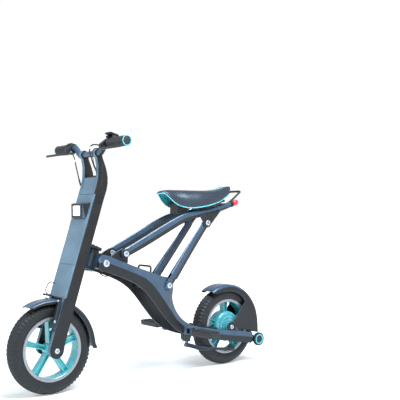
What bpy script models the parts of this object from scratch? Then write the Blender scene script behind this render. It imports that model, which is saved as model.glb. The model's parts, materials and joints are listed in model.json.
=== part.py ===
"""Folding electric mini bike: frame, folding head, steering column, wheels and seat linkage.

Metres, +Z up, +X forward, +Y to the rider's left.  The tyres stand on z = 0.
"""
import math

import bmesh
import bpy
from mathutils import Matrix, Vector

# ---------------------------------------------------------------- driving dimensions
WHEEL_R = 0.1525          # 12 inch tyre, outside radius
WHEELBASE = 0.786
RIM_R = 0.1088            # outside of the cast rim
RIM_HALF = 0.0245
AXLE_R = 0.006
PIN_R = 0.005
FIT = 0.0004              # gap between pieces that touch

SHIFT = 0.4012            # moves the front axle to +X so that the bike is centred on the origin

FRONT = (SHIFT, WHEEL_R)                       # x, z of the front axle
REAR = (SHIFT - WHEELBASE, WHEEL_R)            # x, z of the rear axle
HINGE_D = (SHIFT - 0.192, 0.433)               # folding head hinge
PIVOT_A = (SHIFT - 0.278, 0.463)               # seat arm on the yoke lugs
PIVOT_B = (SHIFT - 0.462, 0.340)               # strut on the frame gusset
PIVOT_C = (SHIFT - 0.652, 0.566)               # strut on the seat bracket
ROLLER = (SHIFT - 0.9275, 0.090)

RAIL_IN, RAIL_OUT = 0.0365, 0.0525             # column side rails, distance from the middle plane
MEMBER_IN, MEMBER_EDGE, MEMBER_RIDGE = 0.0465, 0.0555, 0.0595
ARM_IN, ARM_OUT = 0.0430, 0.0550
BAR_X, BAR_Z, BAR_R = SHIFT - 0.170, 0.834, 0.0105
CROSSBAR_Z = 0.806
GRIP_END = 0.2225

LEAN = math.radians(18.25)                     # column and steering axis, back from vertical
UP = Vector((-math.sin(LEAN), 0.0, math.cos(LEAN)))
FORWARD = Vector((math.cos(LEAN), 0.0, math.sin(LEAN)))
LEFT = Vector((0.0, 1.0, 0.0))
STEER = Vector((SHIFT - 0.1594, 0.0, 0.4173))    # foot of the steering axis
HEAD_TUBE_L = 0.065


# ---------------------------------------------------------------- scene and materials
def clear_scene():
    for item in list(bpy.data.objects):
        bpy.data.objects.remove(item, do_unlink=True)


def paint(name, colour, roughness, metallic=0.0):
    material = bpy.data.materials.new(name)
    material.use_nodes = True
    shader = material.node_tree.nodes["Principled BSDF"]
    shader.inputs["Base Color"].default_value = (*colour, 1.0)
    shader.inputs["Roughness"].default_value = roughness
    shader.inputs["Metallic"].default_value = metallic
    material.diffuse_color = (*colour, 1.0)
    return material


FRAME_GREY = ((0.075, 0.085, 0.10), 0.42, 0.5)
PANEL_BLUE = ((0.13, 0.20, 0.27), 0.40, 0.4)
BLACK = ((0.02, 0.021, 0.024), 0.6, 0.0)
TYRE = ((0.025, 0.026, 0.028), 0.85, 0.0)
TEAL = ((0.03, 0.42, 0.45), 0.35, 0.2)
STEEL = ((0.62, 0.64, 0.66), 0.28, 1.0)
RED = ((0.75, 0.02, 0.03), 0.25, 0.0)
WHITE = ((0.9, 0.92, 0.95), 0.15, 0.0)
LEATHER = ((0.05, 0.065, 0.085), 0.45, 0.0)


def joint_body(name, place):
    """An empty on a joint axis; the pieces of that body are parented to it."""
    empty = bpy.data.objects.new(name, None)
    empty.location = place
    empty.empty_display_size = 0.02
    bpy.context.scene.collection.objects.link(empty)
    return empty


def make(name, mesh_data, body, look, smooth=True):
    """Link one closed solid, given in world coordinates, to the body that carries it."""
    origin = Vector(body.location) if body else Vector((0.0, 0.0, 0.0))
    verts, faces = mesh_data
    mesh = bpy.data.meshes.new(name)
    mesh.from_pydata([Vector(v) - origin for v in verts], [], faces)
    shape = bmesh.new()
    shape.from_mesh(mesh)
    bmesh.ops.remove_doubles(shape, verts=shape.verts, dist=1e-6)
    bmesh.ops.recalc_face_normals(shape, faces=shape.faces)
    shape.to_mesh(mesh)
    shape.free()
    if smooth:
        mesh.shade_smooth()
        mesh.set_sharp_from_angle(angle=math.radians(35))
    item = bpy.data.objects.new(name, mesh)
    mesh.materials.append(paint(name + "_paint", *look))
    item.parent = body
    bpy.context.scene.collection.objects.link(item)
    return item


def boolean(target, mesh_data, operation):
    """Add or remove a closed solid, given in world coordinates."""
    number = len(target.modifiers)
    tool = make("%s_tool_%d" % (target.name, number), mesh_data, target.parent, BLACK, smooth=False)
    tool.hide_render = True
    tool.display_type = "WIRE"
    modifier = target.modifiers.new("tool %d" % number, "BOOLEAN")
    modifier.operation = operation
    modifier.solver = "EXACT"
    modifier.object = tool


def cut(target, *solids):
    for solid in solids:
        boolean(target, solid, "DIFFERENCE")


def join(target, *solids):
    for solid in solids:
        boolean(target, solid, "UNION")


# ---------------------------------------------------------------- shape helpers
def arc(centre, radius, start, end, steps):
    """Points on an arc in a flat outline, angles in degrees."""
    points = []
    for i in range(steps + 1):
        turn = math.radians(start + (end - start) * i / steps)
        points.append((centre[0] + radius * math.cos(turn), centre[1] + radius * math.sin(turn)))
    return points


def circle(centre, radius, steps=16):
    return arc(centre, radius, 0.0, 360.0, steps)[:-1]


def prism(outline, low, high, holes=(), to_world=None):
    """Extrude a flat outline with round holes; by default from the XZ plane along Y."""
    if to_world is None:
        def to_world(a, b, c):
            return Vector((a, c, b))
    shape = bmesh.new()
    for loop in (outline, *holes):
        ring = [shape.verts.new((a, b, low)) for a, b in loop]
        for first, second in zip(ring, ring[1:] + ring[:1]):
            shape.edges.new((first, second))
    bmesh.ops.triangle_fill(shape, edges=shape.edges[:], use_beauty=True)
    grown = bmesh.ops.extrude_face_region(shape, geom=shape.faces[:])["geom"]
    lifted = [item for item in grown if isinstance(item, bmesh.types.BMVert)]
    bmesh.ops.translate(shape, verts=lifted, vec=(0.0, 0.0, high - low))
    shape.verts.index_update()
    verts = [to_world(*v.co) for v in shape.verts]
    faces = [[v.index for v in face.verts] for face in shape.faces]
    shape.free()
    return verts, faces


def on_column(place):
    """Map an outline (forward, left) and a height on to the leaning steering axis at `place`."""
    def to_world(a, b, c):
        return place + FORWARD * a + LEFT * b + UP * c
    return to_world


def flat_on_top(a, b, c):
    """Outline in the XY plane, extruded up."""
    return Vector((a, b, c))


def block(low, high):
    corners = [(low[0], low[2]), (high[0], low[2]), (high[0], high[2]), (low[0], high[2])]
    return prism(corners, low[1], high[1])


def lathe(profile, place, axis=(0.0, 1.0, 0.0), steps=24, ring=False):
    """Turn (radius, height) points round an axis; a ring profile is closed on itself."""
    axis = Vector(axis).normalized()
    side = axis.orthogonal().normalized()
    other = axis.cross(side)
    place = Vector(place)
    verts = []
    rows = []
    for radius, height in profile:
        if radius < 1e-9:
            rows.append([len(verts)] * steps)
            verts.append(place + axis * height)
            continue
        rows.append(list(range(len(verts), len(verts) + steps)))
        for i in range(steps):
            turn = 2.0 * math.pi * i / steps
            verts.append(place + axis * height + (side * math.cos(turn) + other * math.sin(turn)) * radius)
    faces = []
    pairs = list(zip(rows, rows[1:]))
    if ring:
        pairs.append((rows[-1], rows[0]))
    for below, above in pairs:
        for i in range(steps):
            j = (i + 1) % steps
            face = [below[i], below[j], above[j], above[i]]
            face = [v for k, v in enumerate(face) if v not in face[:k]]
            if len(face) > 2:
                faces.append(face)
    return verts, faces


def spindle(radius, low, high, place, axis=(0.0, 1.0, 0.0), steps=16):
    return lathe([(0.0, low), (radius, low), (radius, high), (0.0, high)], place, axis, steps)


def sleeve(inner, outer, low, high, place, axis=(0.0, 1.0, 0.0), steps=20):
    profile = [(inner, low), (outer, low), (outer, high), (inner, high)]
    return lathe(profile, place, axis, steps, ring=True)


def loft(loops):
    """Bridge equal loops of points into one closed solid."""
    count = len(loops[0])
    verts = [Vector(p) for loop in loops for p in loop]
    faces = [list(range(count)), list(range(len(verts) - count, len(verts)))]
    for k in range(len(loops) - 1):
        for i in range(count):
            j = (i + 1) % count
            faces.append([k * count + i, k * count + j, (k + 1) * count + j, (k + 1) * count + i])
    return verts, faces


def smooth_path(points, step):
    """Points along a Catmull-Rom curve through the given ones."""
    points = [Vector(p) for p in points]
    padded = [points[0] * 2 - points[1]] + points + [points[-1] * 2 - points[-2]]
    result = []
    for a, b, c, d in zip(padded, padded[1:], padded[2:], padded[3:]):
        count = max(1, round((c - b).length / step))
        for i in range(count):
            t = i / count
            result.append(0.5 * (2 * b + (c - a) * t + (2 * a - 5 * b + 4 * c - d) * t * t
                                 + (3 * b - a - 3 * c + d) * t ** 3))
    result.append(points[-1])
    return result


def rod(path, radius, sides=10):
    """A round rod along a path."""
    loops = []
    normal = None
    for i, point in enumerate(path):
        ahead = (path[min(i + 1, len(path) - 1)] - path[max(i - 1, 0)]).normalized()
        if normal is None:
            normal = ahead.orthogonal().normalized()
        normal = (normal - ahead * normal.dot(ahead)).normalized()
        other = ahead.cross(normal)
        loops.append([point + (normal * math.cos(2 * math.pi * k / sides)
                               + other * math.sin(2 * math.pi * k / sides)) * radius
                      for k in range(sides)])
    return loft(loops)


def mirrored(mesh_data):
    verts, faces = mesh_data
    return [Vector((v[0], -v[1], v[2])) for v in verts], faces


def both_sides(name, mesh_data, body_left, body_right, look):
    left = make(name + "_left", mesh_data, body_left, look)
    right = make(name + "_right", mirrored(mesh_data), body_right, look)
    return left, right


def cord(name, points, radius, body, look):
    """A cable as a round tube along a smooth route."""
    origin = Vector(body.location) if body else Vector((0.0, 0.0, 0.0))
    path = smooth_path(points, radius * 5.0)
    curve = bpy.data.curves.new(name, "CURVE")
    curve.dimensions = "3D"
    curve.bevel_depth = radius
    curve.bevel_resolution = 2
    curve.use_fill_caps = True
    spline = curve.splines.new("POLY")
    spline.points.add(len(path) - 1)
    for slot, point in zip(spline.points, path):
        slot.co = (*(point - origin), 1.0)
    item = bpy.data.objects.new(name, curve)
    curve.materials.append(paint(name + "_paint", *look))
    item.parent = body
    bpy.context.scene.collection.objects.link(item)
    return item


# ---------------------------------------------------------------- column outline
def front_x(z):
    """Front edge of the column in side view."""
    if z < 0.64:
        return SHIFT - 0.081 + 0.345 * (0.468 - z)
    bend = [(0.64, -0.1403), (0.668, -0.1500), (0.69, -0.1580), (0.71, -0.1640), (0.728, -0.1675),
            (0.763, -0.1690), (0.79, -0.1645)]
    return SHIFT + interpolate(bend, z)


def back_x(z):
    """Back edge of the column in side view."""
    if z < 0.616:
        return SHIFT - 0.177 + 0.33 * (0.616 - z)
    bend = [(0.616, -0.1770), (0.645, -0.1870), (0.683, -0.2010), (0.705, -0.2055), (0.725, -0.2060),
            (0.745, -0.2030), (0.765, -0.1970), (0.79, -0.1870)]
    return SHIFT + interpolate(bend, z)


def interpolate(table, z):
    for (z0, x0), (z1, x1) in zip(table, table[1:]):
        if z <= z1:
            return x0 + (x1 - x0) * (z - z0) / (z1 - z0)
    return table[-1][1]


COVER_T = 0.0062
COVER_LOW, SEAM_LOW, SEAM_HIGH, COVER_TOP = 0.325, 0.4337, 0.6685, 0.727


def rail():
    """One side of the column: fork leg, side plate and handlebar clamp in one piece."""
    notch = COVER_T + FIT
    outline = arc(FRONT, 0.0262, 18.0 - 180.0, 18.0, 8)
    outline += [(front_x(COVER_LOW - FIT), COVER_LOW - FIT)]
    outline += [(front_x(COVER_LOW - FIT) - notch, COVER_LOW - FIT)]
    outline += [(front_x(z) - notch, z) for z in (0.64, SEAM_HIGH + FIT)]
    outline += [(front_x(z), z) for z in (SEAM_HIGH + FIT, 0.69, 0.71, 0.728, 0.763, 0.79)]
    outline += arc((BAR_X, CROSSBAR_Z), 0.0155, -20.0, 200.0, 8)
    outline += [(back_x(z), z) for z in (0.79, 0.765, 0.745, 0.725, 0.705, 0.683, 0.645, 0.616, 0.18)]
    holes = [circle(FRONT, AXLE_R + FIT), circle((BAR_X, CROSSBAR_Z), BAR_R + FIT)]
    return prism(outline, RAIL_IN, RAIL_OUT, holes)


def cover(low, high, half, heights=()):
    """A front cover between two seams, flush with the column's front."""
    levels = [low, *heights, high]
    outline = [(front_x(z), z) for z in levels]
    outline += [(front_x(z) - COVER_T, z) for z in reversed(levels)]
    return prism(outline, -half, half)


def filler(low, high, levels, inset_front, inset_back, half):
    """A closed box between the rails that follows the column's outline."""
    heights = [low, *levels, high]
    outline = [(front_x(z) - inset_front, z) for z in heights]
    outline += [(back_x(z) + inset_back, z) for z in reversed(heights)]
    return prism(outline, -half, half)


# ---------------------------------------------------------------- wheels
def tyre(centre):
    inner = RIM_R + FIT
    steps = 48
    tread = WHEEL_R / math.cos(math.pi / steps)    # the flats between the corners touch the floor
    half_section = [(tread, 0.0100), (WHEEL_R - 0.0055, 0.0195), (WHEEL_R - 0.018, 0.0268),
                    (WHEEL_R - 0.034, 0.0258), (inner, 0.0215)]
    profile = half_section + [(radius, -height) for radius, height in reversed(half_section)]
    verts, faces = lathe(profile, (0.0, 0.0, 0.0), steps=steps, ring=True)
    turn = Matrix.Rotation(math.pi / steps + first_angle(), 4, "Y")
    return [turn @ v + Vector((centre[0], 0.0, centre[1])) for v in verts], faces


def first_angle():
    """Turn that puts a lathe's first row of points straight down."""
    side = Vector((0.0, 1.0, 0.0)).orthogonal().normalized()
    return math.atan2(side.x, side.z) * -1.0


def cast_wheel(name, centre, hub_profile, body):
    """Rim, five spokes and hub in one casting."""
    place = (centre[0], 0.0, centre[1])
    rim = lathe([(0.0965, -RIM_HALF), (RIM_R, -RIM_HALF), (RIM_R, RIM_HALF), (0.0965, RIM_HALF),
                 (0.0930, 0.0150), (0.0930, -0.0150)], place, steps=48, ring=True)
    item = make(name, rim, body, TEAL)
    hub_r = max(radius for radius, height in hub_profile)
    for k in range(5):
        turn = math.radians(90.0 + 72.0 * k)
        join(item, spoke(centre, turn, hub_r - 0.004, 0.0950))
    join(item, lathe(hub_profile, place, steps=28, ring=True))
    return item


def spoke(centre, turn, inner, outer):
    along = Vector((math.cos(turn), 0.0, math.sin(turn)))
    side = Vector((-math.sin(turn), 0.0, math.cos(turn)))
    place = Vector((centre[0], 0.0, centre[1]))
    loops = []
    for radius, half, depth in ((inner, 0.0085, 0.0120), (outer, 0.0125, 0.0100)):
        middle = place + along * radius
        loops.append([middle + side * half * a + LEFT * depth * b
                      for a, b in ((-1, -1), (1, -1), (1, 1), (-1, 1))])
    return loft(loops)


def fender(centre, stations):
    """A curved mudguard; stations are (angle, outer radius, skirt radius, half width)."""
    wall = 0.0022
    loops = []
    for angle, outer, skirt, half in stations:
        turn = math.radians(angle)
        radial = Vector((math.cos(turn), 0.0, math.sin(turn)))
        middle = Vector((centre[0], 0.0, centre[1]))
        shoulder = min(0.012, (outer - skirt) * 0.5)
        outside = [(skirt, -half), (outer - shoulder, -half), (outer, -half + 0.012),
                   (outer, half - 0.012), (outer - shoulder, half), (skirt, half)]
        inside = [(skirt, half - wall), (outer - shoulder, half - wall), (outer - wall, half - 0.013),
                  (outer - wall, -half + 0.013), (outer - shoulder, -half + wall), (skirt, -half + wall)]
        loops.append([middle + radial * radius + LEFT * y for radius, y in outside + inside])
    count = len(loops[0])
    verts, faces = loft(loops)
    last = len(verts) - count
    faces = faces[2:]
    for base in (0, last):
        for i in range(5):
            faces.append([base + i, base + i + 1, base + 10 - i, base + 11 - i])
    return verts, faces


# ---------------------------------------------------------------- frame members
MEMBER_STATIONS = (
    # top x, top z, bottom x, bottom z: side view of one frame member from the hinge to the roller
    (-0.1640, 0.4440, -0.1640, 0.4220), (-0.1700, 0.4540, -0.1690, 0.4125), (-0.1820, 0.4615, -0.1820, 0.4050),
    (-0.2050, 0.4580, -0.2020, 0.4010), (-0.2500, 0.4410, -0.2400, 0.3880), (-0.3000, 0.4230, -0.2850, 0.3710),
    (-0.3500, 0.4050, -0.3250, 0.3510), (-0.4000, 0.3880, -0.3580, 0.3280), (-0.4380, 0.3750, -0.3860, 0.3000),
    (-0.4640, 0.3690, -0.4040, 0.2790), (-0.4840, 0.3530, -0.4200, 0.2590), (-0.4890, 0.3250, -0.4370, 0.2390),
    (-0.4855, 0.2900, -0.4520, 0.2210), (-0.4970, 0.2530, -0.4700, 0.2020), (-0.5230, 0.2170, -0.4930, 0.1810),
    (-0.5600, 0.1900, -0.5250, 0.1600), (-0.6100, 0.1720, -0.5750, 0.1400), (-0.6800, 0.1570, -0.6550, 0.1195),
    (-0.7600, 0.1425, -0.7450, 0.1035), (-0.8500, 0.1290, -0.8400, 0.0865), (-0.8980, 0.1200, -0.8920, 0.0765),
)


def member():
    """A side member: flat inside, with a ridge along its outer face."""
    loops = []
    for index, (tx, tz, bx, bz) in enumerate(MEMBER_STATIONS):
        top = Vector((SHIFT + tx, 0.0, tz))
        bottom = Vector((SHIFT + bx, 0.0, bz))
        share = min(0.5, 0.026 / (top - bottom).length)
        ridge = bottom.lerp(top, share)
        loops.append([bottom + LEFT * MEMBER_IN, bottom + LEFT * MEMBER_EDGE, ridge + LEFT * MEMBER_RIDGE,
                      top + LEFT * MEMBER_EDGE, top + LEFT * MEMBER_IN])
    return loft(loops)


def dropout():
    """Plate that carries the rear axle, welded to the inside of the stay."""
    outline = arc(REAR, 0.0200, -10.0, 190.0, 8)
    outline += [(REAR[0] - 0.045, 0.1230), (REAR[0] - 0.045, 0.1050)]
    outline += [(REAR[0] + 0.045, 0.1160), (REAR[0] + 0.045, 0.1340)]
    return prism(outline, 0.0427, MEMBER_IN + 0.001, [circle(REAR, AXLE_R + FIT, 12)])


def roller_tongue():
    outline = [(SHIFT - 0.885, 0.0800), (SHIFT - 0.885, 0.1180), (SHIFT - 0.9225, 0.1010)]
    outline += arc(ROLLER, 0.0090, 60.0, 250.0, 6)
    return prism(outline, 0.0468, 0.0505, [circle(ROLLER, 0.0044, 10)])


PEG_AXIS = (SHIFT - 0.553, 0.0835)              # x, y of the left peg's upright hinge pin
PEG_Z = 0.166


def peg_bracket():
    """Clevis welded on the outside of the member for the folding foot peg, with its fixing bolt."""
    x, y = PEG_AXIS
    dome = lathe([(0.0, -0.003), (0.0085, -0.003), (0.0085, 0.001), (0.0060, 0.0035), (0.0, 0.0045)],
                 (x, 0.0640, PEG_Z + 0.0145), (0, 0, 1), 14)
    outline = [(x - 0.0155, 0.0540), (x + 0.0190, 0.0540), (x + 0.0155, y - 0.006),
               *arc(PEG_AXIS, 0.0105, 0.0, 180.0, 6), (x - 0.0145, y - 0.006)]
    solid = prism(outline, PEG_Z - 0.0145, PEG_Z + 0.0145, to_world=flat_on_top)
    slot = block((x - 0.03, y - 0.0125, PEG_Z - 0.0092), (x + 0.03, y + 0.02, PEG_Z + 0.0092))
    bore = spindle(0.0042, PEG_Z - 0.02, PEG_Z + 0.02, (x, y, 0.0), (0, 0, 1), 12)
    return solid, slot, bore, dome


def flip(tools, sign):
    return [mirrored(solid) if sign < 0 else solid for solid in tools]


def build_frame():
    clevis_parts = peg_bracket()
    for side, sign in (("left", 1), ("right", -1)):
        base, drop, tongue, clevis, gap, hole, dome = flip(
            [member(), dropout(), roller_tongue(), *clevis_parts], sign)
        item = make("frame_member_" + side, base, None, FRAME_GREY)
        join(item, drop, tongue, clevis, dome)
        holes = [spindle(AXLE_R + FIT, 0.04, 0.07, (HINGE_D[0], 0.0, HINGE_D[1])),
                 spindle(PIN_R + FIT, 0.04, 0.07, (PIVOT_B[0], 0.0, PIVOT_B[1]), steps=12),
                 spindle(0.0034, 0.04, 0.07, (SHIFT - 0.392, 0.0, 0.362), steps=10)]
        cut(item, gap, hole, *flip(holes, sign))
        if sign > 0:
            tab, *tools = stand_bracket()
            join(item, tab)
            cut(item, *tools)
    make("latch_block", block((SHIFT - 0.434, -0.0461, 0.3320), (SHIFT - 0.378, 0.0461, 0.3545)), None, BLACK)
    make("frame_cross_tube", spindle(0.009, -0.0461, 0.0461, (SHIFT - 0.598, 0.0, 0.156)), None, FRAME_GREY)
    axle = lathe([(0.0, -0.0530), (0.0085, -0.0530), (0.0095, -0.0479), (AXLE_R, -0.0479), (AXLE_R, 0.0479),
                  (0.0095, 0.0479), (0.0085, 0.0530), (0.0, 0.0530)], (REAR[0], 0.0, REAR[1]), steps=16)
    make("rear_axle", axle, None, STEEL)
    make("rear_fender", fender(REAR, REAR_FENDER), None, FRAME_GREY)
    both_sides("strut_pivot", pivot_bolt(PIVOT_B, 0.0415, 0.0644), None, None, STEEL)
    route = [(SHIFT - 0.5740, 0.0439, 0.1870), (SHIFT - 0.6100, 0.0439, 0.1755), (SHIFT - 0.6600, 0.0439, 0.1640),
             (SHIFT - 0.7120, 0.0439, 0.1535)]
    cord("motor_cable", route, 0.0022, None, BLACK)


REAR_FENDER = (
    # angle round the axle, outer radius, skirt radius, half width
    (59.0, 0.1690, 0.1600, 0.0360), (63.0, 0.1700, 0.1500, 0.0390), (80.0, 0.1690, 0.1420, 0.0400),
    (100.0, 0.1670, 0.1370, 0.0400), (120.0, 0.1640, 0.1320, 0.0400), (132.0, 0.1625, 0.1290, 0.0400),
    (134.0, 0.1622, 0.0260, 0.0400), (150.0, 0.1612, 0.0240, 0.0400), (166.0, 0.1610, 0.0240, 0.0400),
    (178.0, 0.1618, 0.0240, 0.0400), (185.0, 0.1650, 0.0250, 0.0400), (191.0, 0.1720, 0.0300, 0.0400),
)

FRONT_FENDER = (
    (60.0, 0.1700, 0.1640, 0.0290), (64.0, 0.1690, 0.1580, 0.0330), (85.0, 0.1680, 0.1540, 0.0345),
    (104.0, 0.1670, 0.1540, 0.0345), (122.0, 0.1660, 0.1500, 0.0345), (132.0, 0.1650, 0.1440, 0.0390),
    (150.0, 0.1630, 0.1400, 0.0395), (166.0, 0.1625, 0.1400, 0.0395), (178.0, 0.1640, 0.1420, 0.0395),
    (184.0, 0.1720, 0.1480, 0.0395),
)


def pivot_bolt(place, inner, outer, head=0.0035):
    """A shouldered bolt along Y with a head at each end."""
    return lathe([(0.0, inner - head), (0.0085, inner - head), (0.0095, inner - FIT), (PIN_R, inner - FIT),
                  (PIN_R, outer + FIT), (0.0105, outer + FIT), (0.0095, outer + head), (0.0, outer + head)],
                 (place[0], 0.0, place[1]), steps=16)


# ---------------------------------------------------------------- folding head
def build_head(body):
    """The yoke that hinges on the frame, its pivot shaft and the steering head tube."""
    outline = [(SHIFT - 0.1605, 0.4192), (SHIFT - 0.1780, 0.4680), (SHIFT - 0.2010, 0.4620),
               (SHIFT - 0.2200, 0.4480), (SHIFT - 0.2260, 0.4300), (SHIFT - 0.2220, 0.4060),
               (SHIFT - 0.1850, 0.4110)]
    yoke = make("head_yoke", prism(outline, -0.0458, 0.0458), body, FRAME_GREY)
    lug = [(SHIFT - 0.200, 0.4080), (SHIFT - 0.198, 0.4580), (SHIFT - 0.218, 0.4495), (SHIFT - 0.248, 0.4700)]
    lug += arc(PIVOT_A, 0.0175, 60.0, 190.0, 8)
    lug += [(SHIFT - 0.293, 0.4300), (SHIFT - 0.270, 0.4070)]
    plate = prism(lug, 0.0330, 0.0425)
    join(yoke, plate, mirrored(plate))
    bore = spindle(0.0199, -0.02, 0.11, STEER, UP, 24)
    shaft = spindle(AXLE_R + FIT, -0.06, 0.06, (HINGE_D[0], 0.0, HINGE_D[1]))
    cut(yoke, bore, shaft)
    make("head_tube", sleeve(0.0090, 0.0195, 0.0, HEAD_TUBE_L, STEER, UP, 24), body, FRAME_GREY)
    hinge = lathe([(0.0, -0.0635), (0.0110, -0.0635), (0.0120, -0.0600), (AXLE_R, -0.0600), (AXLE_R, 0.0600),
                   (0.0120, 0.0600), (0.0110, 0.0635), (0.0, 0.0635)], (HINGE_D[0], 0.0, HINGE_D[1]), steps=16)
    make("fold_hinge_shaft", hinge, body, STEEL)


# ---------------------------------------------------------------- steering column
def bracket(low, high, half):
    """A rounded plate that carries the steering stem behind the column."""
    outline = [(0.0450, -half), (0.0450, half), *arc((0.0, 0.0), half, 90.0, 270.0, 8)]
    return prism(outline, low, high, [circle((0.0, 0.0), 0.0087)], on_column(STEER))


def build_column(body):
    for side, sign in (("left", 1), ("right", -1)):
        plate, stud = flip([rail(), brake_stud()], sign)
        join(make("column_rail_" + side, plate, body, FRAME_GREY), stud)
    make("cover_lower", cover(COVER_LOW, SEAM_LOW, RAIL_OUT), body, PANEL_BLUE)
    make("cover_middle", cover(SEAM_LOW + 0.0006, SEAM_HIGH, RAIL_OUT, (0.64,)), body, PANEL_BLUE)
    levels = (0.69, 0.71)
    make("cover_upper", cover(SEAM_HIGH + 0.0006, COVER_TOP, RAIL_IN - FIT, levels), body, PANEL_BLUE)
    make("column_bridge", filler(0.320, 0.508, (), 0.0075, 0.0004, RAIL_IN - FIT), body, FRAME_GREY)
    make("steer_bracket_lower", bracket(-0.0090, -0.0010, 0.0240), body, FRAME_GREY)
    make("steer_bracket_upper", bracket(HEAD_TUBE_L + 0.001, HEAD_TUBE_L + 0.0105, 0.0270), body, FRAME_GREY)
    top = HEAD_TUBE_L + 0.0109
    stem = [(0.0, -0.0135), (0.0120, -0.0135), (0.0120, -0.0094), (0.0083, -0.0094), (0.0083, top),
            (0.0125, top), (0.0110, top + 0.006), (0.0, top + 0.006)]
    make("steering_stem", lathe(stem, STEER, UP, 20), body, STEEL)
    axle = lathe([(0.0, -0.0565), (0.0085, -0.0565), (0.0095, -0.0529), (AXLE_R, -0.0529), (AXLE_R, 0.0529),
                  (0.0095, 0.0529), (0.0085, 0.0565), (0.0, 0.0565)], (FRONT[0], 0.0, FRONT[1]), steps=16)
    make("front_axle", axle, body, STEEL)
    make("front_fender", fender(FRONT, FRONT_FENDER), body, FRAME_GREY)
    build_headlight(body)
    build_handlebar(body)


def build_headlight(body):
    nose = SHIFT - 0.1140
    low, high = 0.5860, 0.6420
    back = [(front_x(low) + FIT, -0.044, low), (front_x(low) + FIT, 0.044, low),
            (front_x(high) + FIT, 0.047, high), (front_x(high) + FIT, -0.047, high)]
    face = [(nose, -0.034, low + 0.002), (nose, 0.034, low + 0.002),
            (nose, 0.034, high - 0.004), (nose, -0.034, high - 0.004)]
    make("headlight_housing", loft([back, face]), body, FRAME_GREY)
    make("headlight_lens", block((nose + FIT, -0.027, 0.5940), (nose + 0.0026, 0.027, 0.6320)), body, WHITE)


def build_handlebar(body):
    path = [(BAR_X, -0.2200, BAR_Z), (BAR_X, -0.1080, BAR_Z), (BAR_X, -0.0960, BAR_Z - 0.002),
            (BAR_X, -0.0720, CROSSBAR_Z + 0.004), (BAR_X, -0.0600, CROSSBAR_Z)]
    path += [(x, -y, z) for x, y, z in reversed(path)]
    make("handlebar", rod([Vector(p) for p in path], BAR_R, 14), body, FRAME_GREY)
    place = (BAR_X, 0.0, BAR_Z)
    inner = BAR_R + FIT
    for side, sign, start in (("left", 1, 0.1225), ("right", -1, 0.1400)):
        grip = [(0.0, 0.2204), (inner, 0.2204), (inner, start), (0.0185, start), (0.0185, start + 0.006),
                (0.0165, start + 0.009), (0.0172, GRIP_END - 0.008), (0.0185, GRIP_END - 0.006),
                (0.0185, GRIP_END - 0.001), (0.0165, GRIP_END), (0.0, GRIP_END)]
        solid = lathe(grip, place, steps=20)
        make("grip_" + side, solid if sign > 0 else mirrored(solid), body, BLACK)
    clamp_outline = arc((BAR_X, BAR_Z), 0.0165, 60.0, 270.0, 8) + [(BAR_X + 0.034, BAR_Z - 0.0165),
                                                                  (BAR_X + 0.034, BAR_Z - 0.0045)]
    bore = [circle((BAR_X, BAR_Z), inner, 14)]
    for side, sign in (("left", 1), ("right", -1)):
        solid = prism(clamp_outline, 0.1065, 0.1200, bore)
        hole = spindle(0.0029, BAR_Z - 0.03, BAR_Z + 0.01, (LEVER_PIN[0], LEVER_PIN[1], 0.0), (0, 0, 1), 10)
        item = make("lever_clamp_" + side, solid if sign > 0 else mirrored(solid), body, BLACK)
        cut(item, *flip([hole], sign))
    item = make("display_unit", block((BAR_X - 0.0220, 0.1130, BAR_Z + 0.0215),
                                      (BAR_X + 0.0150, 0.1470, BAR_Z + 0.0335)), body, BLACK)
    join(item, block((BAR_X - 0.0130, 0.1080, BAR_Z + 0.0168), (BAR_X + 0.0090, 0.1210, BAR_Z + 0.0240)))
    route = [(BAR_X + 0.018, 0.1052, BAR_Z - 0.0125), (BAR_X + 0.018, 0.0930, BAR_Z - 0.019),
             (BAR_X + 0.017, 0.0780, BAR_Z - 0.039), (BAR_X + 0.017, 0.0670, BAR_Z - 0.069),
             (BAR_X + 0.013, 0.0590, BAR_Z - 0.104), (BAR_X + 0.007, 0.0552, BAR_Z - 0.133)]
    cord("cable_left", route, 0.0022, body, BLACK)
    cord("cable_right", [(x, -y, z) for x, y, z in route], 0.0022, body, BLACK)


LEVER_PIN = (BAR_X + 0.027, 0.1132)              # x, y of the left lever's upright pin


def lever():
    """A brake lever that swings on an upright pin in front of the grip."""
    x, y = LEVER_PIN
    outline = arc(LEVER_PIN, 0.0070, 100.0, 250.0, 6)
    outline += [(x + 0.004, y + 0.001), (x + 0.016, y + 0.030), (x + 0.014, y + 0.090), (x + 0.0135, y + 0.1290),
                (x + 0.0100, y + 0.1300), (x + 0.0080, y + 0.090), (x + 0.008, y + 0.034), (x - 0.001, y + 0.012)]
    return prism(outline, BAR_Z - 0.0245, BAR_Z - 0.0172, to_world=flat_on_top)


def lever_pin():
    x, y = LEVER_PIN
    return spindle(0.0025, BAR_Z - 0.0200, BAR_Z - 0.0060, (x, y, 0.0), (0, 0, 1), 10)


# ---------------------------------------------------------------- smaller moving parts
BRAKE_PIVOT = Vector((SHIFT + 0.014, 0.0445, 0.224))


def brake_arm():
    """A linear-pull brake arm in front of the fork leg, with its pad."""
    outline = arc((0.0, 0.0), 0.0065, 180.0, 360.0, 6) + [(0.0045, 0.060), (0.0030, 0.101), (-0.0040, 0.101),
                                                          (-0.0050, 0.060)]

    def to_world(a, b, c):
        return BRAKE_PIVOT + LEFT * a + UP * b + FORWARD * c
    return prism(outline, -0.0045, 0.0045, to_world=to_world)


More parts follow.
